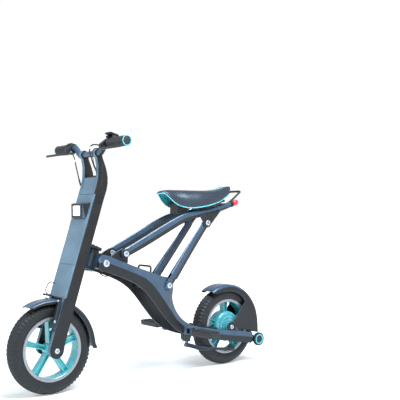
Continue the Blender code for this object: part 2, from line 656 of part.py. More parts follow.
def brake_pad():
    def to_world(a, b, c):
        return BRAKE_PIVOT + LEFT * a + UP * b + FORWARD * c
    outline = [(-0.0185, 0.0220), (-0.0110, 0.0220), (-0.0110, 0.0250), (-0.0010, 0.0250), (-0.0010, 0.0300),
               (-0.0110, 0.0300), (-0.0110, 0.0330), (-0.0185, 0.0330)]
    return prism(outline, -0.0040, 0.0040, to_world=to_world)


def brake_stud():
    """Stud on the front of the fork leg that the brake arm turns on."""
    return spindle(0.0030, -0.0125, 0.0035, BRAKE_PIVOT, FORWARD, 12)


def brake_bore():
    return spindle(0.0034, -0.0100, 0.0100, BRAKE_PIVOT, FORWARD, 12)


def foot_peg():
    """Folding foot peg: tongue, hinge pin and tread block."""
    x, y = PEG_AXIS
    tread = [(y + 0.0170, x - 0.0180), (y + 0.0230, x - 0.0235), (y + 0.1270, x - 0.0235), (y + 0.1330, x - 0.0180),
             (y + 0.1330, x + 0.0180), (y + 0.1270, x + 0.0235), (y + 0.0230, x + 0.0235), (y + 0.0170, x + 0.0180)]
    solid = prism([(b, a) for a, b in tread], PEG_Z - 0.0110, PEG_Z + 0.0110, to_world=flat_on_top)
    tongue = prism([(x - 0.0090, y + 0.0200), *arc(PEG_AXIS, 0.0090, 180.0, 360.0, 6), (x + 0.0090, y + 0.0200)],
                   PEG_Z - 0.0088, PEG_Z + 0.0088, to_world=flat_on_top)
    pin = lathe([(0.0, -0.0145), (0.0038, -0.0145), (0.0038, 0.0150), (0.0065, 0.0150), (0.0050, 0.0185),
                 (0.0, 0.0195)], (x, y, PEG_Z), (0, 0, 1), 12)
    return solid, tongue, pin


STAND_PIVOT = Vector((SHIFT - 0.5640, 0.0350, 0.1060))
STAND_TIP = Vector((SHIFT - 0.797, 0.0420, 0.0630))
STAND_AXIS = Vector((-0.1471, 0.4657, 0.8726))   # upright swing axis, leaning outward


def stand_bracket():
    """Tab on the inside of the left stay, with the room and the bore it needs for the kickstand."""
    x = STAND_PIVOT.x
    outline = [(x + 0.024, 0.1620), (x - 0.022, 0.1500), (x - 0.0115, 0.1280), (x - 0.0115, 0.1020),
               (x + 0.0110, 0.1020), (x + 0.0220, 0.1300)]
    tab = prism(outline, 0.0280, MEMBER_IN + 0.001)
    room = spindle(0.0300, -0.0300, 0.0070, STAND_PIVOT, STAND_AXIS)
    bore = spindle(0.0034, 0.0, 0.0250, STAND_PIVOT, STAND_AXIS, 10)
    return tab, room, bore


def kickstand():
    knee = STAND_PIVOT + Vector((-0.075, 0.004, -0.024))
    path = smooth_path([STAND_PIVOT, STAND_PIVOT.lerp(knee, 0.5), knee, knee.lerp(STAND_TIP, 0.5), STAND_TIP], 0.05)
    return rod(path, 0.0052, 10)


def roller():
    """Transport roller with its stub shaft."""
    return lathe([(0.0, 0.0440), (0.0040, 0.0440), (0.0040, 0.0510), (0.0240, 0.0510), (0.0270, 0.0535),
                  (0.0270, 0.0610), (0.0240, 0.0640), (0.0, 0.0640)], (ROLLER[0], 0.0, ROLLER[1]), steps=24)


# ---------------------------------------------------------------- seat
def bar_section(middle, along, half, inner, outer):
    """Eight-sided section of a bar in the XZ plane, between two distances from the middle plane."""
    side = Vector((-along.z, 0.0, along.x))
    edge = min(0.0035, (outer - inner) * 0.3)
    points = [(-half, inner + edge), (-half, outer - edge), (-half + edge, outer), (half - edge, outer),
              (half, outer - edge), (half, inner + edge), (half - edge, inner), (-half + edge, inner)]
    return [middle + side * a + LEFT * b for a, b in points]


ARM_LINE = (
    # x, z and half height of a seat arm from its pivot to the tail light
    (-0.2740, 0.4615, 0.0150), (-0.3100, 0.4780, 0.0165), (-0.3600, 0.5005, 0.0175), (-0.4500, 0.5430, 0.0178),
    (-0.5250, 0.5770, 0.0165), (-0.5700, 0.5915, 0.0145), (-0.6150, 0.5990, 0.0125), (-0.6800, 0.6100, 0.0112),
    (-0.7400, 0.6240, 0.0104), (-0.7850, 0.6380, 0.0096),
)


def seat_arm():
    places = [Vector((SHIFT + x, 0.0, z)) for x, z, half in ARM_LINE]
    loops = []
    for i, place in enumerate(places):
        along = (places[min(i + 1, len(places) - 1)] - places[max(i - 1, 0)]).normalized()
        loops.append(bar_section(place, along, ARM_LINE[i][2], ARM_IN, ARM_OUT))
    return loft(loops)


def arm_eye():
    return prism(circle(PIVOT_A, 0.0158, 18), ARM_IN, ARM_OUT)


def arm_bolt():
    """The arm's pivot bolt, kept within the arm because this pivot is the linkage's open one."""
    return lathe([(0.0, ARM_IN + FIT), (PIN_R, ARM_IN + FIT), (PIN_R, ARM_OUT + FIT), (0.0105, ARM_OUT + FIT),
                  (0.0095, ARM_OUT + 0.0040), (0.0, ARM_OUT + 0.0040)], (PIVOT_A[0], 0.0, PIVOT_A[1]), steps=16)


def seat_bracket():
    """Plate outside the arm that carries the upper strut pivot."""
    outline = [(SHIFT - 0.612, 0.5950), (SHIFT - 0.724, 0.6140), (SHIFT - 0.712, 0.6040)]
    outline += arc(PIVOT_C, 0.0180, 200.0, 350.0, 7)
    return prism(outline, 0.0546, 0.0590)


def strut():
    """Strut between the frame gusset and the seat bracket, forked at its lower end."""
    low = Vector((PIVOT_B[0], 0.0, PIVOT_B[1]))
    high = Vector((PIVOT_C[0], 0.0, PIVOT_C[1]))
    along = (high - low).normalized()
    length = (high - low).length
    loops = []
    for share, half, inner, outer in ((-0.058, 0.0100, 0.0420, 0.0640), (-0.040, 0.0145, 0.0420, 0.0640),
                                      (0.0, 0.0168, 0.0420, 0.0640), (0.16, 0.0172, 0.0420, 0.0640),
                                      (0.45, 0.0172, 0.0425, 0.0580), (0.80, 0.0165, 0.0428, 0.0538),
                                      (1.0, 0.0155, 0.0428, 0.0538), (1.035, 0.0120, 0.0428, 0.0538)):
        loops.append(bar_section(low + along * length * share, along, half, inner, outer))
    return loft(loops)


def strut_slot():
    return prism(circle(PIVOT_B, 0.0440, 20), 0.0460, 0.0600)


def seat_bolt():
    """The strut's upper pin, which turns in the seat bracket."""
    return lathe([(0.0, 0.0500), (PIN_R, 0.0500), (PIN_R, 0.0594), (0.0105, 0.0594), (0.0095, 0.0630), (0.0, 0.0630)],
                 (PIVOT_C[0], 0.0, PIVOT_C[1]), steps=16)


SADDLE_LINE = (
    # x, half width, middle height, edge height, wall
    (-0.4600, 0.0070, 0.6790, 0.6765, 0.0015), (-0.4670, 0.0150, 0.6840, 0.6775, 0.0045),
    (-0.4780, 0.0220, 0.6870, 0.6750, 0.0070), (-0.4900, 0.0285, 0.6890, 0.6630, 0.0090),
    (-0.5050, 0.0330, 0.6900, 0.6490, 0.0100), (-0.5220, 0.0365, 0.6900, 0.6370, 0.0110),
    (-0.5400, 0.0420, 0.6900, 0.6295, 0.0110), (-0.5710, 0.0520, 0.6900, 0.6240, 0.0110),
    (-0.6200, 0.0600, 0.6900, 0.6270, 0.0110), (-0.6700, 0.0620, 0.6905, 0.6360, 0.0110),
    (-0.7200, 0.0580, 0.6935, 0.6510, 0.0110), (-0.7600, 0.0500, 0.7000, 0.6730, 0.0100),
    (-0.7880, 0.0400, 0.7080, 0.6960, 0.0060), (-0.7980, 0.0330, 0.7100, 0.7040, 0.0040),
)


def saddle():
    """A draped saddle shell, open underneath."""
    loops = []
    for x, half, middle, edge, wall in SADDLE_LINE:
        outside = []
        inside = []
        for k in range(9):
            t = math.pi * k / 8.0
            rise = math.sin(t) ** 0.75
            outside.append(Vector((SHIFT + x, half * math.cos(t), edge + (middle - edge) * rise)))
            inside.append(Vector((SHIFT + x, (half - wall * 0.55) * math.cos(t),
                                  edge + (middle - wall - edge) * rise - 0.0005)))
        loops.append(outside + inside[::-1])
    verts, faces = loft(loops)
    faces = faces[2:]
    for base in (0, len(verts) - 18):
        for i in range(8):
            faces.append([base + i, base + i + 1, base + 16 - i, base + 17 - i])
    return verts, faces


def saddle_slot():
    """Relief slot along the middle of the saddle, open at the tail."""
    outline = [(SHIFT - 0.598, 0.0), (SHIFT - 0.622, 0.0048), (SHIFT - 0.650, 0.0060), (SHIFT - 0.690, 0.0045),
               (SHIFT - 0.740, 0.0035), (SHIFT - 0.820, 0.0050)]
    outline += [(x, -y) for x, y in reversed(outline[1:])]
    return prism(outline, 0.640, 0.740, to_world=flat_on_top)


def seat_base():
    """Support block and rail between the seat arms and the saddle."""
    outline = [(SHIFT - 0.533, 0.6000), (SHIFT - 0.535, 0.6600), (SHIFT - 0.560, 0.6620), (SHIFT - 0.700, 0.6660),
               (SHIFT - 0.760, 0.6740), (SHIFT - 0.776, 0.6480), (SHIFT - 0.700, 0.6330), (SHIFT - 0.600, 0.6240),
               (SHIFT - 0.575, 0.6040)]
    return prism(outline, -0.0235, 0.0235)


def saddle_rib():
    """Rib on the seat base that the saddle rests on."""
    return block((SHIFT - 0.590, -0.0080, 0.6500), (SHIFT - 0.550, 0.0080, 0.6766))


def seat_crossbar():
    return block((SHIFT - 0.700, -(ARM_IN - FIT), 0.6040), (SHIFT - 0.655, ARM_IN - FIT, 0.6440))


def grab_loop():
    x = SHIFT - 0.760
    path = [(x, 0.0355, 0.6330), (x - 0.018, 0.0350, 0.6400), (SHIFT - 0.836, 0.0330, 0.6800),
            (SHIFT - 0.849, 0.0280, 0.6880)]
    path += [(a, -b, c) for a, b, c in reversed(path)]
    path = [(x, ARM_IN - FIT, 0.6330), *path, (x, FIT - ARM_IN, 0.6330)]
    return rod([Vector(p) for p in path], 0.0040, 8)


def tail_light():
    place = (SHIFT - 0.7858, (ARM_IN + ARM_OUT) / 2, 0.6384)
    along = Vector((-0.9600, 0.0, 0.2800))
    return lathe([(0.0, 0.0), (0.0090, 0.0), (0.0098, 0.0060), (0.0098, 0.0230), (0.0060, 0.0300), (0.0, 0.0300)],
                 place, along, 16)


# ---------------------------------------------------------------- assembly
def build_moving_parts(column):
    throttle = joint_body("throttle_axis", (BAR_X, -0.1300, BAR_Z))
    ring = sleeve(BAR_R + FIT, 0.0205, 0.1225, 0.1385, (BAR_X, 0.0, BAR_Z))
    make("throttle_ring", mirrored(ring), throttle, BLACK)
    battery = joint_body("battery_axis", (SHIFT - 0.121, 0.0, 0.518))
    make("battery_pack", filler(0.5160, 0.7330, (0.616, 0.645, 0.668, 0.69, 0.71, 0.725), 0.0078, 0.0080, 0.0355),
         battery, BLACK)
    for side, sign in (("left", 1), ("right", -1)):
        body = joint_body("lever_axis_" + side, (LEVER_PIN[0], sign * LEVER_PIN[1], BAR_Z - 0.02))
        blade, pin = flip([lever(), lever_pin()], sign)
        join(make("brake_lever_" + side, blade, body, FRAME_GREY), pin)
        pivot = Vector((BRAKE_PIVOT.x, sign * BRAKE_PIVOT.y, BRAKE_PIVOT.z))
        body = joint_body("brake_arm_axis_" + side, pivot)
        arm, pad, bore = flip([brake_arm(), brake_pad(), brake_bore()], sign)
        item = make("brake_arm_" + side, arm, body, BLACK)
        join(item, pad)
        cut(item, bore)
        body = joint_body("peg_axis_" + side, (PEG_AXIS[0], sign * PEG_AXIS[1], PEG_Z))
        tread, tongue, pin = flip(foot_peg(), sign)
        join(make("foot_peg_" + side, tread, body, BLACK), tongue, pin)
        body = joint_body("roller_axis_" + side, (ROLLER[0], sign * 0.055, ROLLER[1]))
        make("roller_" + side, *flip([roller()], sign), body, TYRE)
    handle = joint_body("handle_axis", (SHIFT - 0.392, 0.0, 0.362))
    x = SHIFT - 0.392
    path = [(x, 0.0500, 0.3620), (x, 0.0410, 0.3620), (x - 0.001, 0.0380, 0.3660), (x - 0.005, 0.0380, 0.4020),
            (x - 0.005, 0.0330, 0.4070)]
    path += [(a, -b, c) for a, b, c in reversed(path)]
    make("release_handle", rod([Vector(p) for p in path], 0.0030, 8), handle, BLACK)
    stand = joint_body("stand_axis", STAND_PIVOT)
    tip = lathe([(0.0, -0.022), (0.0085, -0.022), (0.0085, 0.004), (0.0060, 0.008), (0.0, 0.008)],
                STAND_TIP, STAND_TIP - STAND_PIVOT, 12)
    barrel = lathe([(0.0, -0.0075), (0.0078, -0.0075), (0.0078, 0.0066), (0.0030, 0.0066), (0.0030, 0.0220),
                    (0.0, 0.0220)], STAND_PIVOT, STAND_AXIS, 12)
    join(make("kickstand", kickstand(), stand, FRAME_GREY), tip, barrel)


def build_wheels():
    front = joint_body("front_wheel_axis", (FRONT[0], 0.0, FRONT[1]))
    rear = joint_body("rear_wheel_axis", (REAR[0], 0.0, REAR[1]))
    make("front_tyre", tyre(FRONT), front, TYRE)
    hub = [(AXLE_R + FIT, -0.0360), (0.0120, -0.0360), (0.0210, -0.0200), (0.0210, 0.0200), (0.0120, 0.0360),
           (AXLE_R + FIT, 0.0360)]
    cast_wheel("front_wheel", FRONT, hub, front)
    make("rear_tyre", tyre(REAR), rear, TYRE)
    motor = [(AXLE_R + FIT, -0.0370), (0.0200, -0.0370), (0.0480, -0.0320), (0.0600, -0.0220), (0.0600, 0.0220),
             (0.0480, 0.0320), (0.0200, 0.0370), (AXLE_R + FIT, 0.0370)]
    cast_wheel("rear_wheel", REAR, motor, rear)


def build_seat():
    struts = joint_body("strut_axis", (PIVOT_B[0], 0.0, PIVOT_B[1]))
    seat = joint_body("seat_axis", (PIVOT_C[0], 0.0, PIVOT_C[1]))
    for side, sign in (("left", 1), ("right", -1)):
        bore_b = spindle(PIN_R + FIT, 0.03, 0.08, (PIVOT_B[0], 0.0, PIVOT_B[1]), steps=12)
        bar, slot, hole, bolt = flip([strut(), strut_slot(), bore_b, seat_bolt()], sign)
        item = make("strut_" + side, bar, struts, FRAME_GREY)
        cut(item, slot, hole)
        join(item, bolt)
        bore_a = spindle(PIN_R + FIT, 0.03, 0.08, (PIVOT_A[0], 0.0, PIVOT_A[1]), steps=12)
        bore_c = spindle(PIN_R + FIT, 0.05, 0.08, (PIVOT_C[0], 0.0, PIVOT_C[1]), steps=12)
        arm, eye, plate, hole_a, hole_c = flip([seat_arm(), arm_eye(), seat_bracket(), bore_a, bore_c], sign)
        item = make("seat_arm_" + side, arm, seat, FRAME_GREY)
        join(item, eye, plate)
        cut(item, hole_a, hole_c)
        make("tail_light_" + side, *flip([tail_light()], sign), seat, RED)
    join(make("seat_base", seat_base(), seat, BLACK), seat_crossbar(), saddle_rib())
    cut(make("saddle", saddle(), seat, LEATHER), saddle_slot())
    make("grab_loop", grab_loop(), seat, BLACK)
    both_sides("arm_pivot", arm_bolt(), seat, seat, STEEL)


def main():
    clear_scene()
    build_frame()
    head = joint_body("fold_axis", (HINGE_D[0], 0.0, HINGE_D[1]))
    build_head(head)
    column = joint_body("steer_axis", STEER)
    build_column(column)
    build_wheels()
    build_moving_parts(column)
    build_seat()


main()
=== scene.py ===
"""Folding electric mini bike: the visual model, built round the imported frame."""
import json
import math

import bmesh
import bpy
from mathutils import Matrix, Vector


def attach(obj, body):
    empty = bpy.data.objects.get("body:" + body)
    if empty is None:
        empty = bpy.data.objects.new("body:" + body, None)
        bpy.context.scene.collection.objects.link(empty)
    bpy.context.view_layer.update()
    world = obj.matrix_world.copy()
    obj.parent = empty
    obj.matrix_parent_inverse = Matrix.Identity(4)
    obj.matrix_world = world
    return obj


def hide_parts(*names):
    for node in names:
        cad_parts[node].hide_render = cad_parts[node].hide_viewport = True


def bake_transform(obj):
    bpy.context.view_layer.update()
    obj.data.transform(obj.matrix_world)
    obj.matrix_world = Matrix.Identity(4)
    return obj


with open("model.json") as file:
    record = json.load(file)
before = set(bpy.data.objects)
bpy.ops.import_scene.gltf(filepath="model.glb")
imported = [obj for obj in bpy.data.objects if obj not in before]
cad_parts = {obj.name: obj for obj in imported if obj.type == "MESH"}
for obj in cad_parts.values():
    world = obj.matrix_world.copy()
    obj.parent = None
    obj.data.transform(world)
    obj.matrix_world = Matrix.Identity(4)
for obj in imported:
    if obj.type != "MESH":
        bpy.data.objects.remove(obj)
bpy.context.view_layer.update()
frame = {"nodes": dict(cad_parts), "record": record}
NODES = frame["nodes"]
BODY_OF = {node: body for body, nodes in frame["record"]["behaviour"]["bodies"].items() for node in nodes}

# ---------------------------------------------------------------- dimensions shared with the CAD
SHIFT = 0.4012  # the front axle is this far ahead of the middle of the bike
ORIGIN = (SHIFT, 0.0, 0.0)
WHEEL_R, BEAD_R, RIM_IN = 0.1525, 0.1096, 0.0968
ROD_R = 0.006
FRONT = (SHIFT, WHEEL_R)
REAR = (SHIFT - 0.786, WHEEL_R)
HINGE_D = (SHIFT - 0.192, 0.433)
PIVOT_A = (SHIFT - 0.278, 0.463)
PIVOT_B = (SHIFT - 0.462, 0.34)
PIVOT_C = (SHIFT - 0.652, 0.566)
ROLLER = (SHIFT - 0.9275, 0.09)
BAR_X, BAR_Z, BAR_R = SHIFT - 0.17, 0.834, 0.0105
CROSSBAR_Z = 0.806
GRIP_END = 0.2225
MEMBER_IN, MEMBER_EDGE, MEMBER_RIDGE = 0.0465, 0.0555, 0.0595
ARM_IN, ARM_OUT = 0.043, 0.055
# The column leans back; UP runs along it and FORWARD square to it.
LEAN = math.radians(18.25)
UP = Vector((-math.sin(LEAN), 0.0, math.cos(LEAN)))
FORWARD = Vector((math.cos(LEAN), 0.0, math.sin(LEAN)))
LEFT = Vector((0.0, 1.0, 0.0))
UPRIGHT = Vector((0.0, 0.0, 1.0))
PEG_X, PEG_Y, PEG_Z = SHIFT - 0.553, 0.0835, 0.166
BRAKE_PIVOT = Vector((SHIFT + 0.014, 0.0445, 0.224))
STAND = (SHIFT - 0.564, 0.035, 0.106)
FLAT_ANGLE = math.radians(1.0)


# ---------------------------------------------------------------- materials
def node_link(tree, kind, **inputs):
    """Add a node and set or link its inputs by name."""
    node = tree.nodes.new(kind)
    for key, value in inputs.items():
        socket = node.inputs[key.replace("_", " ")]
        if isinstance(value, bpy.types.NodeSocket):
            tree.links.new(value, socket)
        else:
            socket.default_value = value
    return node


def noise_at(tree, coords, scale, detail=3.0, stretch=None):
    """A noise texture's value, stretched along the axes where that is asked for."""
    if stretch:
        coords = node_link(tree, "ShaderNodeMapping", Vector=coords, Scale=stretch).outputs["Vector"]
    return node_link(tree, "ShaderNodeTexNoise", Vector=coords, Scale=scale, Detail=detail).outputs["Fac"]


def ranged(tree, value, low, high, start=0.3, end=0.7):
    """The value's stretch from start to end, spread from low to high."""
    return node_link(tree, "ShaderNodeMapRange", Value=value, From_Min=start, From_Max=end, To_Min=low,
                     To_Max=high).outputs["Result"]


def blend_colour(tree, share, first, second):
    """A mix of two colours, either of which can be another node's output. Colours are a Mix node's 6 and 7."""
    node = tree.nodes.new("ShaderNodeMix")
    node.data_type = "RGBA"
    for index, value in ((0, share), (6, first), (7, second)):
        socket = node.inputs[index]
        if isinstance(value, bpy.types.NodeSocket):
            tree.links.new(value, socket)
        else:
            socket.default_value = value if index == 0 else (*value, 1.0)
    return node.outputs[2]


def material(name, colour, rough, metallic=0.0, coat=0.0, mottle=0.15, mottle_scale=40.0, grain=900.0,
             bump=0.08, wear=0.0, worn=(0.35, 0.37, 0.4), stretch=None, emission=0.0, gloss=0.5):
    """A procedural finish with a mottled colour, uneven gloss, fine grain and lighter edges."""
    look = bpy.data.materials.new(name)
    look.use_nodes = True
    tree = look.node_tree
    shader = tree.nodes["Principled BSDF"]
    coords = node_link(tree, "ShaderNodeTexCoord").outputs["Object"]
    cloud = noise_at(tree, coords, mottle_scale, stretch=stretch)
    fine = noise_at(tree, coords, grain, 2.0, stretch=stretch)
    dark = tuple(c * (1.0 - mottle) for c in colour)
    light = tuple(min(1.0, c * (1.0 + mottle)) for c in colour)
    base = blend_colour(tree, ranged(tree, cloud, 0.0, 1.0), dark, light)
    if wear > 0.0:
        edge = node_link(tree, "ShaderNodeNewGeometry").outputs["Pointiness"]
        rubbed = node_link(tree, "ShaderNodeMath", Value=ranged(tree, edge, 0.0, wear, 0.51, 0.6))
        rubbed.operation = "MULTIPLY"
        tree.links.new(ranged(tree, cloud, 0.3, 1.0), rubbed.inputs[1])
        base = blend_colour(tree, rubbed.outputs["Value"], base, worn)
    tree.links.new(base, shader.inputs["Base Color"])
    tree.links.new(ranged(tree, cloud, max(0.03, rough - 0.07), rough + 0.07), shader.inputs["Roughness"])
    shader.inputs["Metallic"].default_value = metallic
    shader.inputs["Specular IOR Level"].default_value = gloss
    shader.inputs["Coat Weight"].default_value = coat
    shader.inputs["Coat Roughness"].default_value = 0.12
    if emission > 0.0:
        shader.inputs["Emission Color"].default_value = (*colour, 1.0)
        shader.inputs["Emission Strength"].default_value = emission
    relief = node_link(tree, "ShaderNodeBump", Height=fine, Strength=bump, Distance=0.0004)
    tree.links.new(relief.outputs["Normal"], shader.inputs["Normal"])
    return look


def leather(name, colour):
    """Fine-grained leather: cells with creases between them."""
    look = material(name, colour, 0.36, coat=0.1, mottle=0.07, mottle_scale=9.0, gloss=0.6)
    tree = look.node_tree
    shader = tree.nodes["Principled BSDF"]
    coords = node_link(tree, "ShaderNodeTexCoord").outputs["Object"]
    cells = node_link(tree, "ShaderNodeTexVoronoi", Vector=coords, Scale=700.0)
    cells.feature = "DISTANCE_TO_EDGE"
    crease = ranged(tree, cells.outputs["Distance"], 0.0, 1.0, 0.0, 0.25)
    relief = node_link(tree, "ShaderNodeBump", Height=crease, Strength=0.12, Distance=0.0003)
    tree.links.new(relief.outputs["Normal"], shader.inputs["Normal"])
    return look


# Painted light: a bluer, lighter and glossier copy of the graphite paint for faces that look up or forward,
# standing in for the sheen of the blue overhead light on them.
PAINTED_SKY_LIGHT = material("graphite_with_painted_sky_light", (0.023, 0.051, 0.086), 0.34, coat=0.12, mottle=0.12,
               mottle_scale=26.0, grain=1500.0, bump=0.1, wear=0.3, worn=(0.16, 0.23, 0.32), gloss=0.6)
GRAPHITE = material("graphite_paint", (0.0115, 0.011, 0.0112), 0.36, mottle_scale=26.0,
                    grain=1500.0, bump=0.1, wear=0.3, worn=(0.05, 0.057, 0.068), gloss=0.26)
PANEL = material("panel_paint", (0.075, 0.132, 0.18), 0.45, coat=0.05, mottle=0.07,
                 mottle_scale=18.0, grain=1600.0, wear=0.35, worn=(0.22, 0.32, 0.4), gloss=0.45)
BLACK = material("black_coat", (0.005, 0.0055, 0.0065), 0.42, mottle=0.2, grain=1100.0,
                 bump=0.14, wear=0.25, worn=(0.06, 0.065, 0.075), gloss=0.45)
PLASTIC = material("black_plastic_skin", (0.006, 0.0065, 0.0075), 0.52, grain=700.0,
                   bump=0.25, gloss=0.4)
RUBBER = material("tyre_compound", (0.0075, 0.0078, 0.0088), 0.55, mottle=0.3,
                  mottle_scale=60.0, grain=1300.0, bump=0.3, wear=0.25, worn=(0.05, 0.05, 0.052), gloss=0.4)
GRIP = material("grip_compound", (0.018, 0.02, 0.023), 0.55, mottle_scale=90.0, grain=1600.0,
                bump=0.3, gloss=0.4)
TEAL = material("teal_coat", (0.035, 0.37, 0.39), 0.26, coat=0.35, mottle=0.08,
                mottle_scale=30.0, grain=1500.0, bump=0.05, wear=0.75, worn=(0.24, 0.66, 0.72), gloss=0.6)
DEEP_TEAL = material("deep_teal_coat", (0.016, 0.225, 0.255), 0.24, coat=0.35, mottle=0.1,
                     mottle_scale=30.0, grain=1500.0, bump=0.05, wear=0.75,
                     worn=(0.16, 0.52, 0.58), gloss=0.6)
LINING = material("teal_lining", (0.018, 0.27, 0.3), 0.5, mottle=0.05, mottle_scale=30.0,
                  grain=1200.0, bump=0.03)
SILVER = material("machined_rim", (0.27, 0.27, 0.28), 0.34, metallic=0.6, mottle=0.08,
                  mottle_scale=60.0, bump=0.1, stretch=(1.0, 12.0, 1.0))
BOLT = material("bolt_plate", (0.44, 0.47, 0.51), 0.3, metallic=0.7, mottle=0.1,
                mottle_scale=120.0, grain=2000.0, wear=0.3, worn=(0.8, 0.85, 0.9))
# Painted shade: a darker metal for the insert in each bolt's hex socket, standing in for the shade in the
# recess.
SOCKET_PAINTED_SHADE = material("bolt_socket_painted_shade", (0.2, 0.22, 0.26), 0.45, metallic=0.6, mottle=0.2)
RED = material("red_lamp", (0.62, 0.018, 0.04), 0.22, coat=0.5, mottle_scale=200.0, grain=500.0,
               bump=0.3, emission=0.15)
LENS = material("white_lamp", (0.95, 0.97, 1.0), 0.15, coat=0.5, mottle=0.03, mottle_scale=200.0,
                grain=300.0, bump=0.3, emission=0.9)
SCREEN = material("dark_screen", (0.02, 0.035, 0.05), 0.12, coat=0.8, mottle=0.2,
                  mottle_scale=90.0, bump=0.02)
SADDLE_TOP = leather("saddle_leather", (0.012, 0.02, 0.031))


# ---------------------------------------------------------------- shapes
def arc(centre, radius, start, end, steps):
    """Points of a flat arc; angles in degrees."""
    points = []
    for i in range(steps + 1):
        turn = math.radians(start + (end - start) * i / steps)
        points.append((centre[0] + radius * math.cos(turn), centre[1] + radius * math.sin(turn)))
    return points


def circle(centre, radius, steps=32):
    return arc(centre, radius, 0.0, 360.0, steps)[:-1]


def rectangle(left, right, low, high):
    return [(left, low), (right, low), (right, high), (left, high)]


def offset(origin, *points):
    """Points measured from an origin, as plain tuples; flat points use its first two numbers."""
    return [tuple(o + p for o, p in zip(origin, point)) for point in points]


def both_ways(half):
    """Points running out from the middle, with the same points on the other side before them."""
    rest = half[1:] if half[0][1] == 0.0 else half
    return [(p[0], -p[1], *p[2:]) for p in reversed(rest)] + list(half)


def in_side_view(a, b, c):
    return Vector((a, c, b))


def on_top(a, b, c):
    return Vector((a, b, c))


def facing(a, b, c):
    return Vector((c, a, b))


def centred(centre):
    return Vector((centre[0], 0.0, centre[1]))


def prism(outline, low, high, holes=(), to_world=in_side_view):
    """Extrude a flat outline with holes; by default from the XZ plane along Y."""
    shape = bmesh.new()
    for loop in (outline, *holes):
        ring = [shape.verts.new((a, b, low)) for a, b in loop]
        for first, second in zip(ring, ring[1:] + ring[:1]):
            shape.edges.new((first, second))
    if holes:
        bmesh.ops.triangle_fill(shape, edges=shape.edges[:], use_beauty=True)
    else:
        shape.faces.new(shape.verts[:])
    grown = bmesh.ops.extrude_face_region(shape, geom=shape.faces[:])["geom"]
    bmesh.ops.translate(shape, verts=[v for v in grown if isinstance(v, bmesh.types.BMVert)],
                        vec=(0.0, 0.0, high - low))
    verts, faces = unpacked(shape)
    return [to_world(*v) for v in verts], faces


def unpacked(shape):
    """A bmesh as plain points and faces; the bmesh is freed."""
    shape.verts.index_update()
    data = [v.co.copy() for v in shape.verts], [[v.index for v in face.verts] for face in shape.faces]
    shape.free()
    return data


def lathe(profile, place, axis=(0.0, 1.0, 0.0), steps=48, ring=False):
    """Turn (radius, height) points round an axis."""
    axis = Vector(axis).normalized()
    side = axis.orthogonal().normalized()
    other = axis.cross(side)
    place = Vector(place)
    verts = []
    rows = []
    for radius, height in profile:
        if radius < 1e-9:
            rows.append([len(verts)] * steps)
            verts.append(place + axis * height)
            continue
        rows.append(list(range(len(verts), len(verts) + steps)))
        for i in range(steps):
            turn = 2.0 * math.pi * i / steps
            verts.append(place + axis * height + (side * math.cos(turn) + other * math.sin(turn)) * radius)
    pairs = list(zip(rows, rows[1:]))
    if ring:
        pairs.append((rows[-1], rows[0]))
    faces = []
    for below, above in pairs:
        for i in range(steps):
            j = (i + 1) % steps
            face = [below[i], below[j], above[j], above[i]]
            face = [v for k, v in enumerate(face) if v not in face[:k]]
            if len(face) > 2:
                faces.append(face)
    return verts, faces


def loft(loops, caps=True):
    """Skin a row of closed loops that have the same number of points."""
    count = len(loops[0])
    verts = [Vector(p) for loop in loops for p in loop]
    faces = []
    if caps:
        faces = [list(range(count)), list(range(len(verts) - count, len(verts)))]
    for k in range(len(loops) - 1):
        for i in range(count):
            j = (i + 1) % count
            faces.append([k * count + i, k * count + j, (k + 1) * count + j, (k + 1) * count + i])
    return verts, faces


def smooth_path(points, step=0.003, parts=None):
    """Points along a Catmull-Rom curve through the given ones, a step apart or so many to a span."""
    points = [Vector(p) for p in points]
    padded = [points[0] * 2 - points[1]] + points + [points[-1] * 2 - points[-2]]
    result = []
    for a, b, c, d in zip(padded, padded[1:], padded[2:], padded[3:]):
        count = parts or max(1, round((c - b).length / step))
        for i in range(count):
            t = i / count
            result.append(0.5 * (2 * b + (c - a) * t + (2 * a - 5 * b + 4 * c - d) * t * t
                                 + (3 * b - a - 3 * c + d) * t ** 3))
    result.append(points[-1])
    return result


def tangent(path, i):
    return (path[min(i + 1, len(path) - 1)] - path[max(i - 1, 0)]).normalized()


def tube(path, radius, sides=16, radii=None):
    """A round rod along a path; radii gives each point its own radius."""
    loops = []
    normal = None
    for i, point in enumerate(path):
        ahead = tangent(path, i)
        if normal is None:
            normal = ahead.orthogonal().normalized()
        normal = (normal - ahead * normal.dot(ahead)).normalized()
        other = ahead.cross(normal)
        size = radii[i] if radii else radius
        loops.append([point + (normal * math.cos(2 * math.pi * k / sides)
                               + other * math.sin(2 * math.pi * k / sides)) * size for k in range(sides)])
    return loft(loops)


def flip(data, sign):
    """The data as it is for the left side, and mirrored for the right."""
    verts, faces = data
    return ([Vector((v[0], -v[1], v[2])) for v in verts], faces) if sign < 0 else data


def merged(*parts):
    verts = []
    faces = []
    for part_verts, part_faces in parts:
        base = len(verts)
        verts.extend(part_verts)
        faces.extend([[base + v for v in face] for face in part_faces])
    return verts, faces


def sides():
    return (("left", 1.0), ("right", -1.0))


def new_object(name, data):
    """An object in the scene from points and faces, with its normals facing out."""
    mesh = bpy.data.meshes.new(name)
    mesh.from_pydata([tuple(v) for v in data[0]], [], data[1])
    shape = bmesh.new()
    shape.from_mesh(mesh)
    bmesh.ops.remove_doubles(shape, verts=shape.verts, dist=1e-6)
    bmesh.ops.recalc_face_normals(shape, faces=shape.faces)
    shape.to_mesh(mesh)
    shape.free()
    item = bpy.data.objects.new(name, mesh)
    bpy.context.scene.collection.objects.link(item)
    return item


